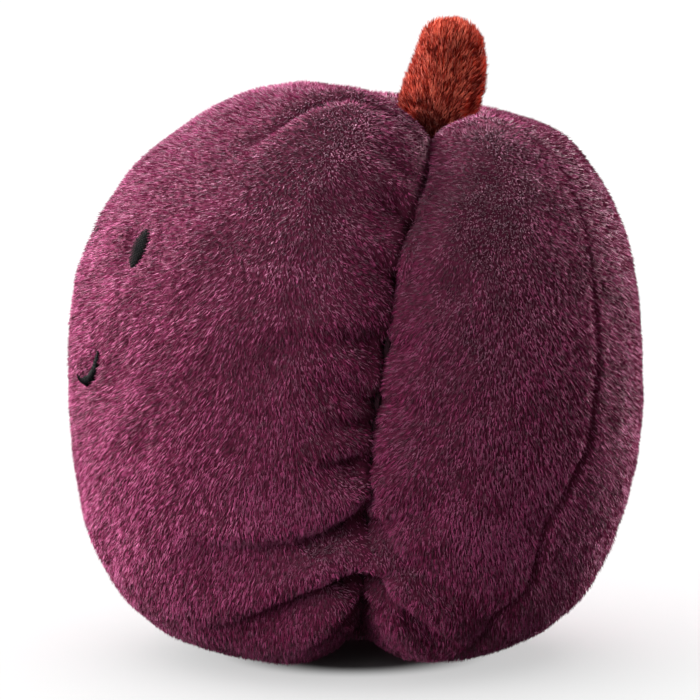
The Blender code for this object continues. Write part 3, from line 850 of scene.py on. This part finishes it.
def vector_math(tree, operation, first, second=None):
    """Return the vector output of a vector math node."""
    made = add_node(tree, "ShaderNodeVectorMath", {0: first}, operation=operation)
    if second is not None:
        slot = 3 if operation == "SCALE" else 1
        if isinstance(second, bpy.types.NodeSocket):
            tree.links.new(second, made.inputs[slot])
        else:
            made.inputs[slot].default_value = second
    return made.outputs[0]


def pile_tree():
    """Return the tree that plants tapered pile tufts over a skin, in three shades."""
    sizes = [(label, "NodeSocketFloat") for label in (
        "Density", "Length", "Width", "Lean", "Stray", "Clump", "Softness")]
    shades = [(label, "NodeSocketMaterial") for label in ("Dark", "Middle", "Light")]
    tree, start, end = start_tree("pile", sizes + [("Seed", "NodeSocketInt")] + shades)
    given = start.outputs
    planted = add_node(tree, "GeometryNodeDistributePointsOnFaces", {
        "Mesh": given["Geometry"], "Seed": given["Seed"]}, distribute_method="RANDOM")
    lie = named_value(tree, "nap", "FLOAT_VECTOR")
    height = named_value(tree, "pile_height", "FLOAT")
    tone = named_value(tree, "tone", "FLOAT")
    cover = named_value(tree, "cover", "FLOAT")
    thick = add_node(tree, "ShaderNodeMath", {0: given["Density"], 1: cover}, operation="MULTIPLY")
    tree.links.new(thick.outputs[0], planted.inputs["Density"])
    chance = add_node(tree, "FunctionNodeRandomValue", {
        "Min": (-1.0, -1.0, -1.0), "Max": (1.0, 1.0, 1.0), "Seed": given["Seed"]}, data_type="FLOAT_VECTOR")
    place = add_node(tree, "GeometryNodeInputPosition")
    clumps = add_node(tree, "ShaderNodeTexNoise", {
        "Vector": place.outputs[0], "Scale": PILE_CLUMP_SCALE, "Detail": 1.0})
    centred = vector_math(tree, "SUBTRACT", clumps.outputs["Color"], (0.5, 0.5, 0.5))
    way = vector_math(tree, "ADD", planted.outputs["Normal"],
                      vector_math(tree, "SCALE", lie, given["Lean"]))
    way = vector_math(tree, "ADD", way, vector_math(tree, "SCALE", chance.outputs["Value"], given["Stray"]))
    way = vector_math(tree, "ADD", way, vector_math(tree, "SCALE", centred, given["Clump"]))
    aimed = add_node(tree, "FunctionNodeAlignRotationToVector", {"Vector": way}, axis="Z")
    spin = add_node(tree, "FunctionNodeRandomValue", {
        2: 0.0, 3: 2.0 * math.pi, "Seed": given["Seed"]}, data_type="FLOAT")
    about = add_node(tree, "ShaderNodeCombineXYZ", {"Z": spin.outputs[1]})
    turned = add_node(tree, "FunctionNodeRotateRotation", {
        "Rotation": aimed.outputs[0], "Rotate By": about.outputs[0]}, rotation_space="LOCAL")
    grow = add_node(tree, "FunctionNodeRandomValue", {
        2: PILE_GROWTH[0], 3: PILE_GROWTH[1]}, data_type="FLOAT")
    longer = add_node(tree, "ShaderNodeMath", {0: grow.outputs[1], 1: given["Length"]}, operation="MULTIPLY")
    tall = add_node(tree, "ShaderNodeMath", {0: longer.outputs[0], 1: height}, operation="MULTIPLY")
    size = add_node(tree, "ShaderNodeCombineXYZ", {
        "X": given["Width"], "Y": given["Width"], "Z": tall.outputs[0]})
    tuft = add_node(tree, "GeometryNodeMeshCone", {
        "Vertices": 3, "Side Segments": 1, "Radius Top": 0.0, "Radius Bottom": 1.0, "Depth": 1.0},
        fill_type="NGON")
    shade = add_node(tree, "FunctionNodeRandomValue", {
        2: PILE_SHADES[0], 3: PILE_SHADES[1], "Seed": PILE_SHADE_SEED}, data_type="FLOAT")
    patch = add_node(tree, "ShaderNodeMath", {0: clumps.outputs["Fac"], 1: 0.5}, operation="SUBTRACT")
    patched = add_node(tree, "ShaderNodeMath", {
        0: patch.outputs[0], 1: PILE_CLUMP_CONTRAST, 2: shade.outputs[1]}, operation="MULTIPLY_ADD")
    # The skin's tone adds random unevenness and painted light and shade to each tuft's shade
    toned = add_node(tree, "ShaderNodeMath", {0: patched.outputs[0], 1: tone}, operation="ADD")
    stored = add_node(tree, "GeometryNodeStoreNamedAttribute", {
        "Geometry": planted.outputs["Points"], "Name": "shade", "Value": toned.outputs[0]},
        data_type="FLOAT", domain="POINT")
    stored = add_node(tree, "GeometryNodeStoreNamedAttribute", {
        "Geometry": stored.outputs[0], "Name": "skin_normal", "Value": planted.outputs["Normal"]},
        data_type="FLOAT_VECTOR", domain="POINT")
    planted_tufts = add_node(tree, "GeometryNodeInstanceOnPoints", {
        "Points": stored.outputs[0], "Instance": tuft.outputs["Mesh"], "Rotation": turned.outputs[0],
        "Scale": size.outputs[0]})
    real = add_node(tree, "GeometryNodeRealizeInstances", {"Geometry": planted_tufts.outputs[0]})
    # The tufts take light mostly as the cloth under them does, which gives the pile its soft look
    below = named_value(tree, "skin_normal", "FLOAT_VECTOR")
    own = add_node(tree, "GeometryNodeInputNormal")
    mixed = vector_math(tree, "ADD", vector_math(tree, "SCALE", below, given["Softness"]), own.outputs[0])
    soft = add_node(tree, "GeometryNodeSetMeshNormal", {
        "Mesh": real.outputs[0], "Custom Normal": vector_math(tree, "NORMALIZE", mixed)},
        mode="FREE", domain="POINT")
    made = soft.outputs[0]
    kept = named_value(tree, "shade", "FLOAT")
    for label, level in (("Dark", SHADE_LOWEST), ("Middle", PILE_MIDDLE_FROM), ("Light", PILE_LIGHT_FROM)):
        chosen = add_node(tree, "FunctionNodeCompare", {0: kept, 1: level},
                          data_type="FLOAT", operation="GREATER_THAN")
        dressed = add_node(tree, "GeometryNodeSetMaterial", {
            "Geometry": made, "Selection": chosen.outputs[0], "Material": given[label]})
        made = dressed.outputs[0]
    tree.links.new(made, end.inputs[0])
    return tree


def forget_working_values(mesh):
    """Remove from a mesh the values that only the node trees read."""
    for layer in WORKING_VALUES:
        if layer in mesh.attributes:
            mesh.attributes.remove(mesh.attributes[layer])


def grown(name, base, tree, values):
    """Return a plain mesh object that a node tree makes from a base object, without its working values."""
    maker = base.modifiers.new("Maker", "NODES")
    maker.node_group = tree
    sockets = {item.name: item.identifier for item in tree.interface.items_tree if item.in_out == "INPUT"}
    for label, value in values.items():
        maker[sockets[label]] = value
    base.update_tag()
    evaluated = base.evaluated_get(bpy.context.evaluated_depsgraph_get())
    mesh = bpy.data.meshes.new_from_object(evaluated)
    base.modifiers.remove(maker)
    mesh.name = name
    forget_working_values(mesh)
    thing = bpy.data.objects.new(name, mesh)
    bpy.context.scene.collection.objects.link(thing)
    return thing


def plain_shader(name):
    """Return a new material and its main shader."""
    material = bpy.data.materials.new(name)
    material.use_nodes = True
    return material, material.node_tree.nodes["Principled BSDF"]


def pile_material(name, colour, tint, sheen):
    """Return one shade of pile: matt fibres with a soft sheen."""
    material, shader = plain_shader(name)
    shader.inputs["Base Color"].default_value = (*colour, 1.0)
    shader.inputs["Roughness"].default_value = PILE_ROUGHNESS
    shader.inputs["Specular IOR Level"].default_value = 0.0
    shader.inputs["Sheen Weight"].default_value = sheen
    shader.inputs["Sheen Roughness"].default_value = PILE_SHEEN_ROUGHNESS
    shader.inputs["Sheen Tint"].default_value = (*tint, 1.0)
    return material


def patterned(name, low, high, scale, bump, distance, roughness, wave=None, specular=0.2):
    """Return a material whose colour and relief vary in fine fibre noise or wound threads."""
    material, shader = plain_shader(name)
    tree = material.node_tree
    place = tree.nodes.new("ShaderNodeTexCoord")
    grain = add_node(tree, "ShaderNodeTexNoise", {
        "Vector": place.outputs["Object"], "Scale": scale, "Detail": 4.0, "Roughness": 0.6})
    level = grain.outputs["Fac"]
    if wave:
        strands = add_node(tree, "ShaderNodeTexWave", {
            "Vector": place.outputs["Object"], "Scale": wave, "Distortion": 1.5, "Detail": 1.0},
            wave_type="BANDS", bands_direction="DIAGONAL")
        mixed = add_node(tree, "ShaderNodeMath", {0: strands.outputs["Fac"], 1: level}, operation="MULTIPLY")
        level = mixed.outputs[0]
    ramp = add_node(tree, "ShaderNodeValToRGB", {"Fac": level})
    for stop, position, colour in zip(ramp.color_ramp.elements, (0.3, 0.7), (low, high)):
        stop.position = position
        stop.color = (*colour, 1.0)
    relief = add_node(tree, "ShaderNodeBump", {"Height": level, "Strength": bump, "Distance": distance})
    tree.links.new(ramp.outputs[0], shader.inputs["Base Color"])
    tree.links.new(relief.outputs[0], shader.inputs["Normal"])
    shader.inputs["Roughness"].default_value = roughness
    shader.inputs["Specular IOR Level"].default_value = specular
    return material


def panel_object(name, points, columns, values=None):
    """Return part of the skin grid as an object, with any values kept on its points."""
    part = points[:, columns]
    thing = mesh_object(name, part, grid_faces(part.shape[0], part.shape[1]))
    thing.data.shade_smooth()
    for label, grid in (values or {}).items():
        if grid.ndim == 3:
            set_vector(thing.data, label, grid[:, columns])
        else:
            set_number(thing.data, label, grid[:, columns])
    return thing


def thickened(thing, thickness):
    """Give an object a wall on its inner side, as plain mesh."""
    wall = thing.modifiers.new("Wall", "SOLIDIFY")
    wall.thickness = thickness
    wall.offset = -1.0
    applied = bpy.data.meshes.new_from_object(thing.evaluated_get(bpy.context.evaluated_depsgraph_get()))
    thing.modifiers.remove(wall)
    thing.data = applied
    return thing


def stuffing(points):
    """Return the fibre filling: one closed body inside the skin, clear of every pleat."""
    middle = np.array((0.0, 0.0, HALF_HEIGHT - FLAT_SPOT_SINK))
    outward = points[:, :-1] - middle
    reach = np.linalg.norm(outward, axis=-1)
    lowest = reach.copy()
    for across in range(-FILLING_SPREAD, FILLING_SPREAD + 1):
        for along in range(-FILLING_SPREAD, FILLING_SPREAD + 1):
            rows = np.clip(np.arange(reach.shape[0]) + along, 0, reach.shape[0] - 1)
            lowest = np.minimum(lowest, np.roll(reach[rows], across, axis=1))
    inner = (middle + outward * ((lowest - FILLING_GAP) / reach)[..., None])[::2, ::2]
    rows, columns = inner.shape[:2]
    ends = np.array((inner[0].mean(axis=0), inner[-1].mean(axis=0)))
    cells = np.arange(rows * columns).reshape(rows, columns)
    ring = np.concatenate((cells, cells[:, :1]), axis=1)
    quads = np.stack((ring[:-1, :-1], ring[1:, :-1], ring[1:, 1:], ring[:-1, 1:]), -1).reshape(-1, 4)
    faces = quads.tolist()
    top, bottom = rows * columns, rows * columns + 1
    for column in range(columns):
        faces.append([top, int(ring[0, column]), int(ring[0, column + 1])])
        faces.append([bottom, int(ring[-1, column + 1]), int(ring[-1, column])])
    mesh = bpy.data.meshes.new("fibre_stuffing")
    mesh.from_pydata(np.vstack((inner.reshape(-1, 3), ends)).tolist(), [], faces)
    mesh.shade_smooth()
    thing = bpy.data.objects.new("fibre_stuffing", mesh)
    bpy.context.scene.collection.objects.link(thing)
    return thing


def stem_radius(height):
    """Return the stem's radius to its pile tips at a height above its root."""
    flare = np.minimum(1.0, height / STEM_FLARE)
    base = STEM_ROOT_RADIUS + (STEM_BASE_RADIUS - STEM_ROOT_RADIUS) * np.sin(0.5 * math.pi * flare)
    taper = np.maximum(0.0, (height - STEM_FLARE) / (STEM_LENGTH - STEM_FLARE))
    return base + (STEM_TOP_RADIUS - STEM_BASE_RADIUS) * taper


def stem_profile():
    """Return the heights and radii of the stem's skin, from its root up over its domed top."""
    dome_base = STEM_LENGTH - STEM_DOME
    dome_run = STEM_DOME * STEM_DOME_RUN
    rim = float(stem_radius(dome_base)) - STEM_INSET
    heights, radii = [], []
    for run in np.linspace(0.0, 1.0, STEM_ROWS) * (dome_base + dome_run):
        if run < dome_base:
            heights.append(run)
            radii.append(float(stem_radius(run)) - STEM_INSET)
        else:
            angle = 0.5 * math.pi * (run - dome_base) / dome_run
            heights.append(dome_base + (STEM_DOME - STEM_INSET) * math.sin(angle))
            radii.append(max(STEM_TIP_RADIUS, rim * math.cos(angle)))
    return np.array(heights), np.array(radii)


def stem_grid():
    """Return the stem's skin as a grid: its sewn edge, a bulge behind and a slimmer, bent upper half."""
    heights, radii = stem_profile()
    around = np.linspace(0.0, 2.0 * math.pi, STEM_COLUMNS + 1)
    outward = np.stack((np.cos(around), np.sin(around), 0.0 * around), -1)[None]
    points = outward * radii[:, None, None]
    points[..., 2] = heights[:, None]
    groove = hill(turn_between(around, STEM_SEAM_AZIMUTH) * STEM_SEAM_RADIUS, 0.0, STEM_SEAM_SPAN)[None, :]
    deep = STEM_SEAM_DEPTH * groove * np.clip(heights / STEM_SEAM_RISE, 0, 1)[:, None]
    points -= outward * deep[..., None]
    bulge = hill(heights, STEM_BULGE_HEIGHT, STEM_BULGE_SPAN)[:, None]
    points += outward * (STEM_BULGE * bulge * np.clip(np.sin(around), 0, 1)[None, :])[..., None]
    upper = np.clip((heights - STEM_UPPER_FROM) / STEM_UPPER_SPAN, 0.0, 1.0)
    points[..., :2] *= (1.0 - STEM_UPPER_SLIM * upper)[:, None, None]
    points[..., 1] += (STEM_UPPER_BEND * upper)[:, None]
    tilt = Matrix.Rotation(-STEM_LEAN, 3, "X")
    foot = plush_surface(np.array([0.0]), np.array([0.0]))[0]
    return points @ np.array(tilt).T + foot


def finish_piece(piece, node):
    """Ride a piece on the toy and hide the solid it stands for."""
    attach(piece, "root")
    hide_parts(node)


def stitch_tree():
    """Return the tree that lays one satin thread on each point of a line, across it."""
    tree, start, end = start_tree("satin_stitches", (
        ("Thread", "NodeSocketFloat"), ("Crown", "NodeSocketFloat"), ("Seed", "NodeSocketInt"),
        ("Finish", "NodeSocketMaterial")))
    given = start.outputs
    way = named_value(tree, "across", "FLOAT_VECTOR")
    out = named_value(tree, "outward", "FLOAT_VECTOR")
    half = named_value(tree, "half", "FLOAT")
    points = add_node(tree, "GeometryNodeMeshToPoints", {"Mesh": given["Geometry"]})
    aimed = add_node(tree, "FunctionNodeAlignRotationToVector", {"Vector": out}, axis="Z")
    laid = add_node(tree, "FunctionNodeAlignRotationToVector", {
        "Rotation": aimed.outputs[0], "Vector": way}, axis="X", pivot_axis="Z")
    jitter = add_node(tree, "FunctionNodeRandomValue", {
        2: STITCH_JITTER[0], 3: STITCH_JITTER[1], "Seed": given["Seed"]}, data_type="FLOAT")
    length = add_node(tree, "ShaderNodeMath", {0: half, 1: jitter.outputs[1]}, operation="MULTIPLY")
    rise = add_node(tree, "ShaderNodeMath", {0: length.outputs[0], 1: given["Crown"]}, operation="MULTIPLY")
    tall = add_node(tree, "ShaderNodeMath", {0: rise.outputs[0], 1: given["Thread"]}, operation="ADD")
    size = add_node(tree, "ShaderNodeCombineXYZ", {
        "X": length.outputs[0], "Y": given["Thread"], "Z": tall.outputs[0]})
    thread = add_node(tree, "GeometryNodeMeshUVSphere", {"Segments": 8, "Rings": 6, "Radius": 1.0})
    placed = add_node(tree, "GeometryNodeInstanceOnPoints", {
        "Points": points.outputs[0], "Instance": thread.outputs["Mesh"], "Rotation": laid.outputs[0],
        "Scale": size.outputs[0]})
    real = add_node(tree, "GeometryNodeRealizeInstances", {"Geometry": placed.outputs[0]})
    smooth = add_node(tree, "GeometryNodeSetShadeSmooth", {"Geometry": real.outputs[0]})
    dressed = add_node(tree, "GeometryNodeSetMaterial", {
        "Geometry": smooth.outputs[0], "Material": given["Finish"]})
    tree.links.new(dressed.outputs[0], end.inputs[0])
    return tree


def stitched(name, places, across, outward, half, tree, finish, crown, thread, seed):
    """Return a row of satin stitches as a plain mesh."""
    base = mesh_object(name + "_line", np.array(places), np.zeros((0, 3), int))
    set_vector(base.data, "across", np.array(across))
    set_vector(base.data, "outward", np.array(outward))
    set_number(base.data, "half", np.array(half))
    made = grown(name, base, tree, {"Thread": thread, "Crown": crown, "Seed": seed, "Finish": finish})
    bpy.data.objects.remove(base, do_unlink=True)
    return made


def eye_stitches(name, side, tree, finish, seed):
    """Return an oval eye of level satin stitches."""
    spot, right, upward, outward = face_axes(EYE_POLAR, side * EYE_AZIMUTH)
    turn = Matrix.Rotation(-side * EYE_TURN, 3, outward)
    right, upward = turn @ right, turn @ upward
    spot = spot - outward * EYE_STITCH_SINK
    places, half = [], []
    for index in range(EYE_STITCHES):
        rise = -1.0 + 2.0 * (index + 0.5) / EYE_STITCHES
        places.append(spot + upward * rise * EYE_HALF_HEIGHT * EYE_STITCH_FIT)
        half.append(max(EYE_HALF_WIDTH * math.sqrt(1.0 - rise * rise), EYE_STITCH_LEAST))
    across, out = [right] * EYE_STITCHES, [outward] * EYE_STITCHES
    return stitched(name, places, across, out, half, tree, finish, EYE_CROWN, EYE_THREAD, seed)


def mouth_stitches(name, tree, finish, seed):
    """Return the smile: short satin stitches side by side along an arc."""
    polar, azimuth = mouth_angles(MOUTH_STITCHES)
    last = MOUTH_STITCHES - 1
    places, across, out, half = [], [], [], []
    for index in range(MOUTH_STITCHES):
        spot, _, _, outward = face_axes(polar[index], azimuth[index])
        beside = [max(0, index - 1), min(last, index + 1)]
        line = plush_surface(polar[beside], azimuth[beside])
        along = Vector(line[1] - line[0]).normalized()
        places.append(spot - outward * MOUTH_STITCH_SINK)
        across.append(along.cross(outward).normalized())
        out.append(outward)
        # The stitches shorten to half their length towards both corners
        full = min(1.0, min(index, last - index) / last * MOUTH_END_TAPER)
        half.append(MOUTH_STITCH_HALF * (0.5 + 0.5 * full))
    return stitched(name, places, across, out, half, tree, finish, MOUTH_CROWN, MOUTH_THREAD, seed)


def soft_light(name, place, aim, size, power):
    """Return a new square softbox that points at a place."""
    light = bpy.data.lights.new(name, "AREA")
    light.shape = "SQUARE"
    light.size = size
    light.energy = power
    lamp = bpy.data.objects.new(name, light)
    lamp.location = place
    lamp.rotation_euler = (Vector(aim) - Vector(place)).to_track_quat("-Z", "Y").to_euler()
    bpy.context.scene.collection.objects.link(lamp)
    return lamp


def studio_floor():
    """Return the white floor: it glows evenly as a lit table, apart from a shadow painted as a dark spot
    where the toy stands.
    """
    bpy.ops.mesh.primitive_grid_add(x_subdivisions=8, y_subdivisions=8, size=FLOOR_SIZE)
    floor = bpy.context.active_object
    floor.name = "studio_floor"
    sweep, shader = plain_shader("white_sweep")
    shader.inputs["Base Color"].default_value = (FLOOR_GREY, FLOOR_GREY, FLOOR_GREY, 1.0)
    shader.inputs["Emission Color"].default_value = WHITE
    shader.inputs["Roughness"].default_value = 1.0
    shader.inputs["Specular IOR Level"].default_value = 0.0
    spot = sweep.node_tree.nodes.new("ShaderNodeTexCoord")
    away = add_node(sweep.node_tree, "ShaderNodeVectorMath", {0: spot.outputs["Object"]}, operation="LENGTH")
    # Painted shadow: the glow fades out over a spot round the toy's foot
    glow_round_painted_shadow = add_node(sweep.node_tree, "ShaderNodeMapRange", {
        "Value": away.outputs["Value"], "From Min": PAINTED_SHADOW_DARK_TO, "From Max": PAINTED_SHADOW_LIT_FROM,
        "To Min": 0.0, "To Max": FLOOR_GLOW}, interpolation_type="SMOOTHSTEP")
    sweep.node_tree.links.new(glow_round_painted_shadow.outputs[0], shader.inputs["Emission Strength"])
    floor.data.materials.append(sweep)
    # The white floor throws no light up onto the toy, as in the photograph
    floor.visible_diffuse = False
    return floor


def studio_room():
    """Light the room from above; little comes back from the shaded table."""
    world = bpy.data.worlds.new("studio_room")
    bpy.context.scene.world = world
    world.use_nodes = True
    background = world.node_tree.nodes["Background"]
    background.inputs["Color"].default_value = WHITE
    sky = world.node_tree.nodes.new("ShaderNodeTexCoord")
    heights = add_node(world.node_tree, "ShaderNodeSeparateXYZ", {0: sky.outputs["Generated"]})
    fall = add_node(world.node_tree, "ShaderNodeMapRange", {
        "Value": heights.outputs["Z"], "From Min": ROOM_DIM_BELOW, "From Max": ROOM_BRIGHT_ABOVE,
        "To Min": ROOM_DIM, "To Max": ROOM_BRIGHT}, interpolation_type="SMOOTHSTEP")
    world.node_tree.links.new(fall.outputs[0], background.inputs["Strength"])


def studio_camera():
    """Add the camera at the photograph's angle, and return where it aims, its right and its level way."""
    forward = Vector((-math.sin(CAMERA_AZIMUTH) * math.cos(CAMERA_ELEVATION),
                      math.cos(CAMERA_AZIMUTH) * math.cos(CAMERA_ELEVATION), -math.sin(CAMERA_ELEVATION)))
    right = Vector((math.cos(CAMERA_AZIMUTH), math.sin(CAMERA_AZIMUTH), 0.0))
    upward = right.cross(forward)
    aim = Vector((0.0, 0.0, CAMERA_AIM_HEIGHT))
    middle = aim - right * SHIFT_RIGHT * PIXEL * MM - upward * SHIFT_UP * PIXEL * MM
    camera = bpy.data.cameras.new("camera")
    camera.sensor_width = SENSOR_WIDTH
    camera.lens = SENSOR_WIDTH * FOCAL_PIXELS / PICTURE_PIXELS
    camera.clip_start = 0.05
    camera.clip_end = 20.0
    eye = bpy.data.objects.new("camera", camera)
    eye.location = middle - forward * CAMERA_DISTANCE
    eye.rotation_euler = forward.to_track_quat("-Z", "Y").to_euler()
    bpy.context.scene.collection.objects.link(eye)
    bpy.context.scene.camera = eye
    return aim, right, Vector((forward.x, forward.y, 0.0)).normalized()


def studio_lights(floor, aim, right, level):
    """Add the softboxes, flagged off the floor, and an even overhead light that whitens the floor alone."""
    for name, turn, rise, distance, size, power in SOFTBOXES:
        side, lift = math.radians(turn), math.radians(rise)
        way = (right * math.sin(side) - level * math.cos(side)) * math.cos(lift)
        lamp = soft_light(name, aim + (way + Vector((0, 0, math.sin(lift)))) * distance, aim, size, power)
        flag = bpy.data.collections.new(name + "_flag")
        flag.objects.link(floor)
        flag.collection_objects[0].light_linking.link_state = "EXCLUDE"
        lamp.light_linking.receiver_collection = flag
    overhead = bpy.data.lights.new("floor_wash", "SUN")
    overhead.energy = WASH_POWER
    overhead.angle = WASH_ANGLE
    wash = bpy.data.objects.new("floor_wash", overhead)
    way = right * WASH_FROM_RIGHT - level * WASH_FROM_NEAR + Vector((0, 0, 1.0))
    wash.rotation_euler = (-way).to_track_quat("-Z", "Y").to_euler()
    bpy.context.scene.collection.objects.link(wash)
    lit = bpy.data.collections.new("floor_only")
    lit.objects.link(floor)
    wash.light_linking.receiver_collection = lit


def studio():
    """Set up the floor, the room, the camera and the lights."""
    floor = studio_floor()
    studio_room()
    studio_lights(floor, *studio_camera())
    view = bpy.context.scene.view_settings
    view.view_transform = "Standard"
    view.look = "None"


def pile_height(polar, azimuth, points, eyes, across, on_side):
    """Return the pile's height as a share: short round the face, in the crease, on the dart and the seam."""
    height = np.clip((eyes - EYE_PILE_EDGE) * EYE_PILE_RISE, 0.0, 1.0)
    height = height * np.clip(mouth_offset(points) / MOUTH_PILE_CLEAR, PILE_LEAST, 1.0)
    valley = np.where(on_side, VALLEY_PILE_SIDE, VALLEY_PILE_FACE)
    height = height * np.clip(valley + VALLEY_PILE_RISE * across / VALLEY_PILE_REACH, 0.0, 1.0)
    height = height * (1.0 - DART_PILE_DIP * hill(beside_line(points, DART)[0], 0.0, SEWN_PILE_SPAN))
    seam_gap = np.abs(turn_between(azimuth, back_seam(polar))) * np.sin(polar) * HALF_DEPTH
    height = height * (1.0 - SEAM_PILE_DIP * hill(seam_gap, 0.0, SEWN_PILE_SPAN))
    return height * (1.0 + mottle(points, PILE_UNEVEN))


def pile_tone_with_painted_shade_and_light(azimuth, points):
    """Return the pile's tone at each point: random unevenness, with painted light and shade added."""
    height = points[..., 2]
    tone = mottle(points, TONE_LAYERS)
    # Painted light: the pile is drawn lighter low on both lobes
    tone += LOW_PAINTED_LIGHT * hill(height, LOW_PAINTED_LIGHT_HEIGHT, LOW_PAINTED_LIGHT_SPAN)
    # Painted shadow: the pile is drawn darker under the overhang of each low fold
    for index in FOLDS_WITH_PAINTED_SHADOW:
        distance, share, rise = beside_line(points, PLEATS[index][0])
        under = np.where(rise > 0.0, FOLD_PAINTED_SHADOW_ABOVE, FOLD_PAINTED_SHADOW_BELOW)
        tone -= FOLD_PAINTED_SHADOW * np.clip(FOLD_PAINTED_SHADOW_REACH - share, 0.0, 1.0) * hill(distance, 0.0, under)
    # Painted shade: the pile is drawn darker along a line on the back lobe
    tone -= PAINTED_SHADE_LINE_TONE * hill(beside_line(points, PAINTED_SHADE_LINE)[0], 0.0, PAINTED_SHADE_LINE_SPAN)
    # Painted rim light: the pile is drawn lighter towards the back lobe's edge
    tone += RIM_PAINTED_LIGHT * hill(turn_between(azimuth, RIM_PAINTED_LIGHT_AZIMUTH), 0.0, RIM_PAINTED_LIGHT_SPAN)
    # Painted shade: the pile is drawn darker high beside the crease
    beside = hill(turn_between(azimuth, HIGH_PAINTED_SHADE_AZIMUTH), 0.0, HIGH_PAINTED_SHADE_AZIMUTH_SPAN)
    tone -= HIGH_PAINTED_SHADE * hill(height, HIGH_PAINTED_SHADE_HEIGHT, HIGH_PAINTED_SHADE_SPAN) * beside
    return tone


def pile_cover(eyes, across, on_side):
    """Return how thickly the pile is planted: thinner in the crease, and next to none under the eyes."""
    cover = VALLEY_COVER + (1.0 - VALLEY_COVER) * stepped(across, *VALLEY_COVER_RISE)
    cover = np.where(on_side, np.maximum(cover, VALLEY_COVER_SIDE), cover)
    return cover * np.where(eyes < EYE_COVER_EDGE, EYE_COVER, 1.0)


def pile_values(polar, azimuth, points):
    """Return what the pile reads from the plum's skin: its nap, height, tone with painted light and shade,
    and cover.
    """
    beside = turn_between(azimuth, crease_azimuth(polar))
    across = np.abs(beside) * np.sin(polar) * HALF_DEPTH
    on_side = beside > 0.0
    eyes = np.minimum(eye_offset(points, -1.0), eye_offset(points, 1.0))
    return {"nap": nap(polar, azimuth, points, grid_normals(points)),
            "pile_height": pile_height(polar, azimuth, points, eyes, across, on_side),
            "tone": pile_tone_with_painted_shade_and_light(azimuth, points),
            "cover": pile_cover(eyes, across, on_side)}


def pile_shades(shades, tint):
    """Return a pile's materials by the names of the tree's inputs."""
    made = [pile_material(name, colour, tint, sheen) for name, colour, sheen in shades]
    return dict(zip(("Dark", "Middle", "Light"), made))


def plum_pile(points, values, tree):
    """Add the plum's pile, planted stretch by stretch round the ball."""
    shades = pile_shades(PLUM_SHADES, PLUM_TINT)
    ends = (0, SIDE_END, BACK_MIDDLE, BACK_END, FAR_CHEEK_END, FACE_END, FRONT_END)
    for (name, node, density, seed), first, last in zip(PILES, ends, ends[1:]):
        skin = panel_object(name + "_skin", points, slice(first, last + 1), values)
        pile = grown(name, skin, tree, {
            "Density": density / MM ** 2, "Length": PLUM_PILE_LENGTH, "Width": PLUM_PILE_WIDTH,
            "Lean": 1.15, "Stray": 0.3, "Clump": 1.5, "Softness": 6.0, "Seed": seed, **shades})
        bpy.data.objects.remove(skin, do_unlink=True)
        finish_piece(pile, node)


def plum_skins(points):
    """Add the three stuffed panels under the plum's pile."""
    backing = patterned(*PLUM_BACKING)
    ends = (0, SIDE_END, BACK_END, FRONT_END)
    for (name, node), first, last in zip(SKINS, ends, ends[1:]):
        skin = thickened(panel_object(name, points, slice(first, last + 1)), SKIN_THICKNESS)
        skin.data.materials.append(backing)
        finish_piece(skin, node)


def fibre_filling(points, wadding):
    """Add the ball's filling."""
    filling = stuffing(points)
    filling.data.materials.append(wadding)
    finish_piece(filling, "fibre_filling")


def pile_stem(tree):
    """Add the stem: its pile, and then the stuffed skin that the pile was planted on."""
    stem = stem_grid()
    skin = mesh_object("stem_skin", stem, grid_faces(stem.shape[0], stem.shape[1])[:, ::-1])
    skin.data.shade_smooth()
    axis = np.array(Matrix.Rotation(-STEM_LEAN, 3, "X") @ Vector((0.0, 0.0, 1.0)))
    normals = grid_normals(stem) * -1.0
    rise = axis - normals * (normals @ axis)[..., None]
    rise = rise / np.maximum(STEM_NAP_LEAST, np.linalg.norm(rise, axis=-1, keepdims=True))
    up_stem = ((stem - stem[0, 0]) @ axis) / STEM_LENGTH
    set_vector(skin.data, "nap", rise)
    set_number(skin.data, "pile_height", 1.0 + mottle(stem, STEM_PILE_UNEVEN))
    set_number(skin.data, "cover", np.ones(stem.shape[:-1]))
    set_number(skin.data, "tone", STEM_TONE_RISE * (up_stem - 0.5) + mottle(stem, STEM_TONE_LAYERS))
    pile = grown("stem_pile", skin, tree, {
        "Density": 21.0 / MM ** 2, "Length": STEM_PILE_LENGTH, "Width": STEM_PILE_WIDTH,
        "Lean": 1.3, "Stray": 0.45, "Clump": 1.6, "Softness": 3.5, "Seed": 17,
        **pile_shades(RUST_SHADES, RUST_TINT)})
    finish_piece(pile, "stem_cover")
    forget_working_values(skin.data)
    thickened(skin, STEM_WALL)
    skin.data.materials.append(patterned(*RUST_BACKING))
    finish_piece(skin, "stem_cover")


def stitched_face():
    """Add the two eyes and the smile."""
    tree, black = stitch_tree(), patterned(*BLACK_THREAD)
    finish_piece(eye_stitches("eye_left_stitches", 1.0, tree, black, 61), "eye_left")
    finish_piece(eye_stitches("eye_right_stitches", -1.0, tree, black, 62), "eye_right")
    finish_piece(mouth_stitches("mouth_stitches", tree, black, 63), "mouth")


def inner_finishes(wadding):
    """Finish the solids that stay as they are: the stem's filling and the inner threads."""
    thread = patterned(*SEWING_THREAD)
    # The crease thread takes the near-black sewing thread, painted shade that reads as the crease's shadow
    for name, finish in (("stem_filling", wadding), ("draw_thread", thread), ("base_knot", thread),
                         ("crease_thread", thread)):
        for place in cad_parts[name].material_slots:
            place.material = finish


def build():
    """Build the toy's pieces over the frame."""
    polar, azimuth, points = skin_grid()
    tree = pile_tree()
    wadding = patterned(*WADDING)
    plum_pile(points, pile_values(polar, azimuth, points), tree)
    plum_skins(points)
    fibre_filling(points, wadding)
    pile_stem(tree)
    stitched_face()
    inner_finishes(wadding)


studio()
build()
